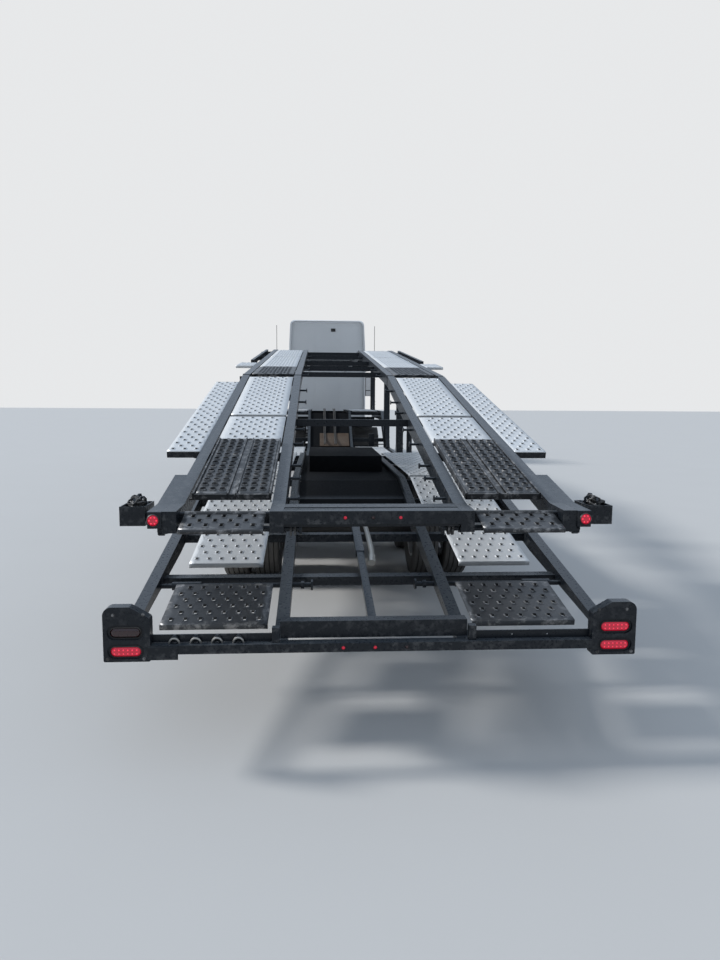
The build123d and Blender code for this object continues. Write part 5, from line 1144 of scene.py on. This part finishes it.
# %% Hardware on the trailer's bodies
# Pin heads as distance across, station, height and size: at the knee, and at the lift cylinder's head and foot
KNEE_HEAD, CYLINDER_HEAD = (0.5955, 4.12, 1.961, 0.020), (1.2485, 7.95, 2.28, 0.024)
CYLINDER_FOOT = (1.2485, 8.0, 0.78, 0.024)
# Posts as station and foot height; their bolts' heights over the foot and under the top, and places along
POSTS, POST_OUT, POST_TOP = ((9.52, 0.80), (11.95, 0.80), (15.9, 1.56)), 1.2795, 2.45
OVER_FOOT, UNDER_TOP, POST_BOLT_ALONG, POST_BOLT = (0.08, 0.16), (0.14, 0.06), (-0.035, 0.035), 0.011
# Screws of the lamp boxes' covers, across and up, and the station of the covers
COVER_SCREWS, COVER_STATION, COVER_SCREW = ((1.105, 0.735), (1.245, 0.735), (1.105, 0.52), (1.275, 0.52)), 0.0005, 0.007
# Toothed wheels of the strap shafts across the tail, and stops on the rails where the loading ramps end
RATCHETS_X, RATCHET_AT, RATCHET_RADIUS = (0.395, 0.415), (0.262, 1.098), 0.036
STOP_X, STOP_STATIONS, STOP_SUNK, STOP_SIZE = 0.965, (0.52, 1.55), 0.012, 0.009
# Station and height of the rear deck section's rails, at the tail and at the knee
DECK_TAIL, DECK_KNEE = (0.43, 1.203), (4.12, 2.011)


def deck_height(station):
    """The height of the rear deck section's rails."""
    slope = (DECK_KNEE[1] - DECK_TAIL[1]) / (DECK_KNEE[0] - DECK_TAIL[0])
    return DECK_TAIL[1] + slope * (station - DECK_TAIL[0])


hardware = {body: bmesh.new() for body in ("trailer", "rear_deck", "mid_deck")}
for side in (-1, 1):
    for body, (x, station, z, size) in (("mid_deck", KNEE_HEAD), ("mid_deck", CYLINDER_HEAD),
                                        ("trailer", CYLINDER_FOOT)):
        bolt(hardware[body], (side * x, place(station), z), (side, 0, 0), size)
    for station, foot in POSTS:
        for z in [foot + rise for rise in OVER_FOOT] + [POST_TOP - drop for drop in UNDER_TOP]:
            for along in POST_BOLT_ALONG:
                bolt(hardware["trailer"], (side * POST_OUT, place(station + along), z), (side, 0, 0), POST_BOLT)
    for x, z in COVER_SCREWS:
        bolt(hardware["trailer"], (side * x, place(COVER_STATION), z), (0, -1, 0), COVER_SCREW)
    for x in RATCHETS_X:
        ratchet(hardware["rear_deck"], side * x - WHEEL_THICK / 2, place(RATCHET_AT[0]), RATCHET_AT[1], RATCHET_RADIUS)
    for station in STOP_STATIONS:
        top = deck_height(station) - STOP_SUNK
        bolt(hardware["rear_deck"], (side * STOP_X, place(station), top), (0, 0, 1), STOP_SIZE)
for body, bm in hardware.items():
    bmesh.ops.recalc_face_normals(bm, faces=bm.faces)
    piece = finish_piece(f"{body}_hardware", bm, "zinc" if body == "mid_deck" else "axle_iron", body)
    print(piece.name, "faces", len(piece.data.polygons))

# %% [markdown]
# Hoses follow the frame and sag a little between clips, so each is a smooth curve through a few points. All of them
# are fixed to the trailer at both ends: feed lines to the cylinders' feet, lines over the neck, and one braided hose
# beside the centre tube of the tail, which the photograph shows.

# %% Hoses on the trailer
# Points as distance across, station and height
FEED_LINE = ((1.205, 5.9, 0.86), (1.205, 6.6, 0.74), (1.205, 7.2, 0.66), (1.205, 7.75, 0.62), (1.2, 7.9, 0.70))
NECK_LINE = ((12.0, 0.80), (12.4, 0.92), (13.0, 1.30), (13.5, 1.52), (14.4, 1.53))
FEED_RADIUS, NECK_RADIUS, NECK_LINES_X = 0.010, 0.012, (0.10, 0.13)
TUBE_HOSE = ((0.070, 1.18, 0.700), (0.078, 1.30, 0.748), (0.075, 1.62, 0.800), (0.066, 2.05, 0.848),
             (0.060, 2.38, 0.880))
TUBE_HOSE_RADIUS, FERRULE_RADIUS, FERRULE_LONG = 0.019, 0.025, 0.07


def hose(bm, points, radius, sides=10):
    """A hose through points given as distance across, station and height. Returns its path."""
    path = curve_through([(x, place(station), z) for x, station, z in points])
    sweep(bm, path, radius, sides)
    return path


hoses = bmesh.new()
for side in (-1, 1):
    hose(hoses, [(side * x, station, z) for x, station, z in FEED_LINE], FEED_RADIUS)
    for x in NECK_LINES_X:
        hose(hoses, [(side * x, station, z) for station, z in NECK_LINE], NECK_RADIUS)
bmesh.ops.recalc_face_normals(hoses, faces=hoses.faces)
finish_piece("trailer_hoses", hoses, "hose_rubber", "trailer")

braid = bmesh.new()
run = hose(braid, TUBE_HOSE, TUBE_HOSE_RADIUS, 12)
# A crimped ferrule at each end points along the hose, as its third point from that end shows
for tip, after in ((run[0], run[2]), (run[-1], run[-3])):
    pole(braid, tip, tip + (after - tip).normalized() * FERRULE_LONG, FERRULE_RADIUS, 14)
print("braided hose", round(sum((b - a).length for a, b in zip(run, run[1:])), 2), "m long")

# %% [markdown]
# Four rings hang across the left pocket of the bumper, with a bracket beside the left lamp box. At the foot of the
# neck, between the inner rails, lies a worn board. They are small, but a viewer of the photograph would miss them.

# %% Rings, bracket and board
RINGS_X, RING_STATION, RING_Z = (-0.662, -0.764, -0.866, -0.968), 0.030, 0.583
# A hanging ring's half width, how far it leans back, half its height, and its wire
RING_HALF, RING_LEAN, RING_TALL, RING_WIRE, RING_STEPS = 0.024, 0.006, 0.026, 0.0052, 20
BRACKET = ((-1.085, -0.004, 0.512), (-0.945, 0.001, 0.578))
NECK_FOOT, NECK_SLOPE, BOARD_SUNK = (12.1, 0.74), math.atan2(0.76, 1.25), 0.034
BOARD = ((-0.23, 0.06, 0.0), (0.42, 0.56, 0.018))
BRACKET_EDGE, BOARD_EDGE = 0.003, 0.002

for x in RINGS_X:
    circle = [(math.cos(math.tau * k / RING_STEPS), math.sin(math.tau * k / RING_STEPS)) for k in range(RING_STEPS)]
    ring = [Vector((x + RING_HALF * c, place(RING_STATION - RING_LEAN * s), RING_Z + RING_TALL * s)) for c, s in circle]
    sweep(braid, ring, RING_WIRE, 8, closed=True)
bmesh.ops.recalc_face_normals(braid, faces=braid.faces)
finish_piece("tail_hose_and_rings", braid, "zinc", "trailer")

bracket = bmesh.new()
bar(bracket, *((x, place(station), z) for x, station, z in BRACKET))
finish_piece("bumper_bracket", bracket, "frame_paint", "trailer", (), BRACKET_EDGE)

board = bmesh.new()
bar(board, *BOARD)
foot = Matrix.Translation((0, place(NECK_FOOT[0]), NECK_FOOT[1] - BOARD_SUNK))
bmesh.ops.transform(board, matrix=foot @ Matrix.Rotation(NECK_SLOPE, 4, "X"), verts=board.verts)
finish_piece("neck_board", board, "plywood", "trailer", (), BOARD_EDGE)
print("rings", len(RINGS_X))

# %% [markdown]
# The cab is seen from behind in the photograph, but a part for a library is looked at from every side. Its trim
# follows what such tractors carry. Much of it stands on sloping surfaces, so three helpers work in a surface's own
# directions. Trim of one finish goes into one mesh, and the meshes become pieces when all of them are filled.

# %% Helpers for trim
def lying(x, station, z, normal):
    """A place on a surface, with Z along its normal."""
    turn = Vector(normal).to_track_quat("Z", "Y").to_matrix().to_4x4()
    return Matrix.Translation((x, place(station), z)) @ turn


def dome(bm, matrix, size, sides=14):
    """A flattened ball: half of it stands proud of the surface it lies on."""
    bmesh.ops.create_uvsphere(bm, u_segments=sides, v_segments=sides // 2, radius=0.5,
                              matrix=matrix @ Matrix.Diagonal((*size, 1.0)))


def plate(bm, matrix, lo, hi):
    """A bar in a surface's own directions."""
    piece = bmesh.new()
    bar(piece, lo, hi)
    join_into(bm, piece, matrix)


trim = {name: bmesh.new() for name in ("chrome", "black_plastic", "lamp_amber", "mirror_glass", "zinc", "cab_paint")}

# %% Roof lamps, wipers and mirror glass
ROOF_LAMPS_X, ROOF_LAMP_STATION, ROOF_LAMP_Z = (-0.72, -0.36, 0.0, 0.36, 0.72), 20.118, 2.90
VISOR_NORMAL, SCREEN_NORMAL, UP_GLASS = (0, 0.83, 0.56), (0, 0.77, 0.64), Vector((0, -0.64, 0.77))
LAMP_FOOT, LAMP_DOME = ((-0.065, -0.035, 0.0), (0.065, 0.035, 0.008)), (0.105, 0.052, 0.05)
for x in ROOF_LAMPS_X:
    spot = lying(x, ROOF_LAMP_STATION, ROOF_LAMP_Z, VISOR_NORMAL)
    plate(trim["chrome"], spot, *LAMP_FOOT)
    dome(trim["lamp_amber"], spot @ Matrix.Translation((0, 0, LAMP_FOOT[1][2])), LAMP_DOME)

# A wiper: where it turns, how far its arm reaches up and across, half its blade, and its height over the glass
WIPER_X, WIPER_STATION, WIPER_Z, ARM_UP, ARM_ACROSS = 0.12, 20.772, 2.13, 0.36, 0.36
BLADE_ACROSS, BLADE_UP, WIPER_LIFT, BLADE_LIFT = 0.30, 0.14, 0.022, 0.35
WIPER_BOSS, ARM_THICK, ARM_TIP = 0.016, 0.007, 0.005
# Mirror glass: the large flat one over the small wide one, on the heads' rear faces
MIRROR_X, MIRROR_HALF, MIRROR_STATIONS, MIRROR_HEIGHTS = 1.465, 0.098, (20.794, 20.7995), ((2.10, 2.52), (1.91, 2.075))
for side in (-1, 1):
    pivot = Vector((side * WIPER_X, place(WIPER_STATION), WIPER_Z))
    tip = pivot + UP_GLASS * ARM_UP + Vector((side * ARM_ACROSS, 0, 0))
    blade_half = Vector((side * BLADE_ACROSS, 0, 0)) + UP_GLASS * BLADE_UP
    lift = Vector(SCREEN_NORMAL) * WIPER_LIFT
    blade_low, blade_high = tip - blade_half + lift * BLADE_LIFT, tip + blade_half + lift * BLADE_LIFT
    pole(trim["black_plastic"], pivot, pivot + lift, WIPER_BOSS)
    pole(trim["black_plastic"], pivot + lift, tip + lift, ARM_THICK, 8, ARM_TIP)
    pole(trim["black_plastic"], blade_low, blade_high, ARM_THICK, 8)
    for low, high in MIRROR_HEIGHTS:
        bar(trim["mirror_glass"], (side * MIRROR_X - MIRROR_HALF, place(MIRROR_STATIONS[0]), low),
            (side * MIRROR_X + MIRROR_HALF, place(MIRROR_STATIONS[1]), high))
print("roof lamps", len(ROOF_LAMPS_X))

# %% Grab rails, tank straps and caps, step treads
GRAB_STATION, GRAB_FROM, GRAB_OUT, GRAB_FEET, GRAB_ENDS = 19.24, 1.118, 1.165, (1.45, 2.45), (1.42, 2.48)
GRAB_FOOT_RADIUS, GRAB_RADIUS = 0.010, 0.013
# The tanks' axis, across and up; a strap is a band round it, open where the tank meets the frame
TANK_X, TANK_Z, STRAP_STATIONS, STRAP_RADIUS, STRAP_WIDE = 0.826, 0.74, (17.95, 18.68), 0.322, 0.05
STRAP_OPEN, STRAP_GROWS = -0.20, 1.012
# The filler cap: its station, the way it faces, its foot's distance from the tank's axis, and per ring its lower and
# upper end over that foot, its radius and its sides
CAP_STATION, CAP_OUT, CAP_FOOT = 18.32, (0.62, 0.785), 0.31
CAP_RINGS = ((0.0, 0.035, 0.058, 24), (0.035, 0.050, 0.050, 10))
# Treads of a step: inner and outer edge and height
STEPS, STEP_STATION, STEP_LONG, STEP_ROWS = ((0.70, 0.975, 0.9415), (0.992, 1.046, 0.776)), 19.97, 0.86, 24
STEP_COLUMN, STEP_PITCH = 0.035, (0.033, 0.034)
STEP_CUP = {"foot": 0.009, "rim": 0.003, "rise": 0.003, "throat": 0.001, "depth": 0.006}
for side in (-1, 1):
    for z in GRAB_FEET:
        pole(trim["chrome"], (side * GRAB_FROM, place(GRAB_STATION), z), (side * GRAB_OUT, place(GRAB_STATION), z),
             GRAB_FOOT_RADIUS)
    grab_low, grab_high = ((side * GRAB_OUT, place(GRAB_STATION), z) for z in GRAB_ENDS)
    pole(trim["chrome"], grab_low, grab_high, GRAB_RADIUS)
    for station in STRAP_STATIONS:
        strap = bmesh.new()
        bmesh.ops.create_cone(strap, cap_ends=False, segments=40, radius1=STRAP_RADIUS, radius2=STRAP_RADIUS,
                              depth=STRAP_WIDE)
        inboard = [vert for vert in strap.verts if vert.co.x * side < STRAP_OPEN]
        bmesh.ops.delete(strap, geom=inboard, context="VERTS")
        outer = bmesh.ops.extrude_face_region(strap, geom=strap.faces[:])
        bmesh.ops.scale(strap, vec=(STRAP_GROWS, STRAP_GROWS, 1.0), verts=grown_verts(outer))
        axis = Matrix.Translation((side * TANK_X, place(station), TANK_Z)) @ Matrix.Rotation(math.pi / 2, 4, "X")
        join_into(trim["chrome"], strap, axis)
    out = Vector((side * CAP_OUT[0], 0, CAP_OUT[1]))
    cap = Vector((side * TANK_X, place(CAP_STATION), TANK_Z)) + out * CAP_FOOT
    for low, high, radius, sides in CAP_RINGS:
        pole(trim["chrome"], cap + out * low, cap + out * high, radius, sides)
    for inner, outer, z in STEPS:
        treads = pressed(outer - inner, STEP_LONG, max(1, int((outer - inner) / STEP_COLUMN)), STEP_ROWS, *STEP_PITCH,
                         True, STEP_CUP, lip=0.0)
        join_into(trim["zinc"], treads, Matrix.Translation((side * (inner + outer) / 2, place(STEP_STATION), z)))
print("treads", len(trim["zinc"].faces), "faces")

# %% [markdown]
# The sleeper's rear wall faces the camera. It is made of panels riveted over vertical seams, with a rail along its top
# and a small louvred vent high on its right.

# %% The sleeper's rear wall
# A seam strip: distance across, half width, stations and heights; its rivets' first height, pitch and size
SEAMS_X, SEAM_HALF, SEAM_STATIONS, SEAM_HEIGHTS = (0.36, 1.02), 0.018, (17.4965, 17.4995), (1.35, 3.98)
RIVETS, RIVET_STATION, RIVET_FROM, RIVET_PITCH, RIVET_SIZE = 34, 17.4968, 1.40, 0.076, (0.014, 0.014, 0.010)
WALL_RAIL = ((-1.05, 17.490, 3.985), (1.05, 17.4995, 4.008))
VENT = ((0.11, 17.488, 3.735), (0.24, 17.4995, 3.825))
LOUVRES, LOUVRE_X, LOUVRE_FROM, LOUVRE_PITCH, LOUVRE_NORMAL = 5, 0.175, 3.75, 0.016, (0, -0.8, 0.6)
LOUVRE = ((-0.06, -0.007, 0), (0.06, 0.007, 0.004))
TRIM_EDGE = 0.0012
for side in (-1, 1):
    for x in SEAMS_X:
        bar(trim["cab_paint"], (side * x - SEAM_HALF, place(SEAM_STATIONS[0]), SEAM_HEIGHTS[0]),
            (side * x + SEAM_HALF, place(SEAM_STATIONS[1]), SEAM_HEIGHTS[1]))
        for k in range(RIVETS):
            spot = lying(side * x, RIVET_STATION, RIVET_FROM + RIVET_PITCH * k, (0, -1, 0))
            dome(trim["cab_paint"], spot, RIVET_SIZE, 12)
for material, corners in (("chrome", WALL_RAIL), ("black_plastic", VENT)):
    bar(trim[material], *((x, place(station), z) for x, station, z in corners))
for k in range(LOUVRES):
    spot = lying(LOUVRE_X, VENT[0][1], LOUVRE_FROM + LOUVRE_PITCH * k, LOUVRE_NORMAL)
    plate(trim["black_plastic"], spot, *LOUVRE)
# All the trim is in place: each finish becomes a piece. The pressed zinc treads are too thin to round
for name, bm in trim.items():
    bmesh.ops.recalc_face_normals(bm, faces=bm.faces)
    edge = 0.0 if name == "zinc" else TRIM_EDGE
    piece = finish_piece(f"cab_trim_{name}", bm, name, "tractor", (), edge)
    print(piece.name, "faces", len(piece.data.polygons))

# %% [markdown]
# What is fastened to a door or to the hood has to move with it, so the handles ride on the doors and the turn lamps on
# the hood. The amber side lamps stand on the trailer's lower rails, inside the legal width.

# %% Handles, turn lamps and side lamps
HANDLE_PLATE_STATIONS, HANDLE_PLATE_HEIGHTS = (19.70, 19.90), (1.585, 1.655)
HANDLE_PLATE_X, HANDLE_PLATE_SLACK = (1.0805, 1.0865), 0.0005
HANDLE_OUT, HANDLE_FROM, HANDLE_Z, GRIP_RADIUS, GRIP_FOOT_RADIUS = 1.1, 1.082, 1.63, 0.011, 0.008
GRIP_STATIONS, GRIP_FEET = (19.715, 19.885), (19.725, 19.875)
for label, side in SIDES:
    handle = bmesh.new()
    near, far = side * HANDLE_PLATE_X[0] - HANDLE_PLATE_SLACK, side * HANDLE_PLATE_X[1] + HANDLE_PLATE_SLACK
    bar(handle, (near, place(HANDLE_PLATE_STATIONS[0]), HANDLE_PLATE_HEIGHTS[0]),
        (far, place(HANDLE_PLATE_STATIONS[1]), HANDLE_PLATE_HEIGHTS[1]))
    grip_rear, grip_front = ((side * HANDLE_OUT, place(station), HANDLE_Z) for station in GRIP_STATIONS)
    pole(handle, grip_rear, grip_front, GRIP_RADIUS, 12)
    for station in GRIP_FEET:
        pole(handle, (side * HANDLE_FROM, place(station), HANDLE_Z), (side * HANDLE_OUT, place(station), HANDLE_Z),
             GRIP_FOOT_RADIUS, 10)
    bmesh.ops.recalc_face_normals(handle, faces=handle.faces)
    finish_piece(f"door_handle_{label}", handle, "chrome", f"door_{label}", (), FINE_EDGE)

TURN_LAMP, TURN_LAMP_SIZE = (1.214, 21.62, 1.20), (0.05, 0.13, 0.04)
# Side lamps as station and height; their lens and base, and how far out each lies
SIDE_LAMPS = ((3.3, 1.03), (6.9, 0.80), (9.6, 0.62), (12.0, 0.62), (15.2, 1.40))
SIDE_LENS, SIDE_LENS_X, SIDE_BASE_X = (0.03, 0.07, 0.014), 1.287, 1.285
SIDE_BASE = ((-0.024, -0.045, -0.001), (0.024, 0.045, 0.002))
turn_lamps, side_lamps, side_bases = bmesh.new(), bmesh.new(), bmesh.new()
for side in (-1, 1):
    dome(turn_lamps, lying(side * TURN_LAMP[0], *TURN_LAMP[1:], (side, 0, 0)), TURN_LAMP_SIZE)
    for station, z in SIDE_LAMPS:
        dome(side_lamps, lying(side * SIDE_LENS_X, station, z, (side, 0, 0)), SIDE_LENS, 12)
        plate(side_bases, lying(side * SIDE_BASE_X, station, z, (side, 0, 0)), *SIDE_BASE)
finish_piece("turn_lamps", turn_lamps, "lamp_amber", "hood")
finish_piece("side_lamps", side_lamps, "lamp_amber", "trailer")
finish_piece("side_lamp_bases", side_bases, "black_plastic", "trailer")
print("side lamps", len(SIDE_LAMPS) * 2)

# %% [markdown]
# Through the windows one sees the cab's insides: cloth on the seats and the bunk, plastic on the dash and the wheel.
# In the CAD they are one node, so its separate solids are sorted by where they stand. Cushions get a wide round.

# %% The cab's insides
DASH_FROM, CUSHION_ROUND, DASH_ROUND = 20.28, 0.02, 0.006
cloth, hard = node_mesh("cab_interior"), node_mesh("cab_interior")
for bm, keep_soft in ((cloth, True), (hard, False)):
    for part in separate(bm):
        middle = sum((vert.co for vert in part), Vector()) / len(part)
        if (middle.y < place(DASH_FROM)) != keep_soft:
            bmesh.ops.delete(bm, geom=part, context="VERTS")
seats = finish_piece("cab_seats_and_bunk", cloth, "seat_cloth", "tractor", ("cab_interior",),
                     CUSHION_ROUND, 3)
dash = finish_piece("cab_dash", hard, "interior_plastic", "tractor", ("cab_interior",), DASH_ROUND)
print("faces of the seats and bunk", len(seats.data.polygons), "and of the dash", len(dash.data.polygons))

# %% [markdown]
# By now every CAD node is replaced by a dressed piece. The box round all of it should be the CAD's own.

# %% The number of pieces, and the last line
print("pieces", len(PIECES))
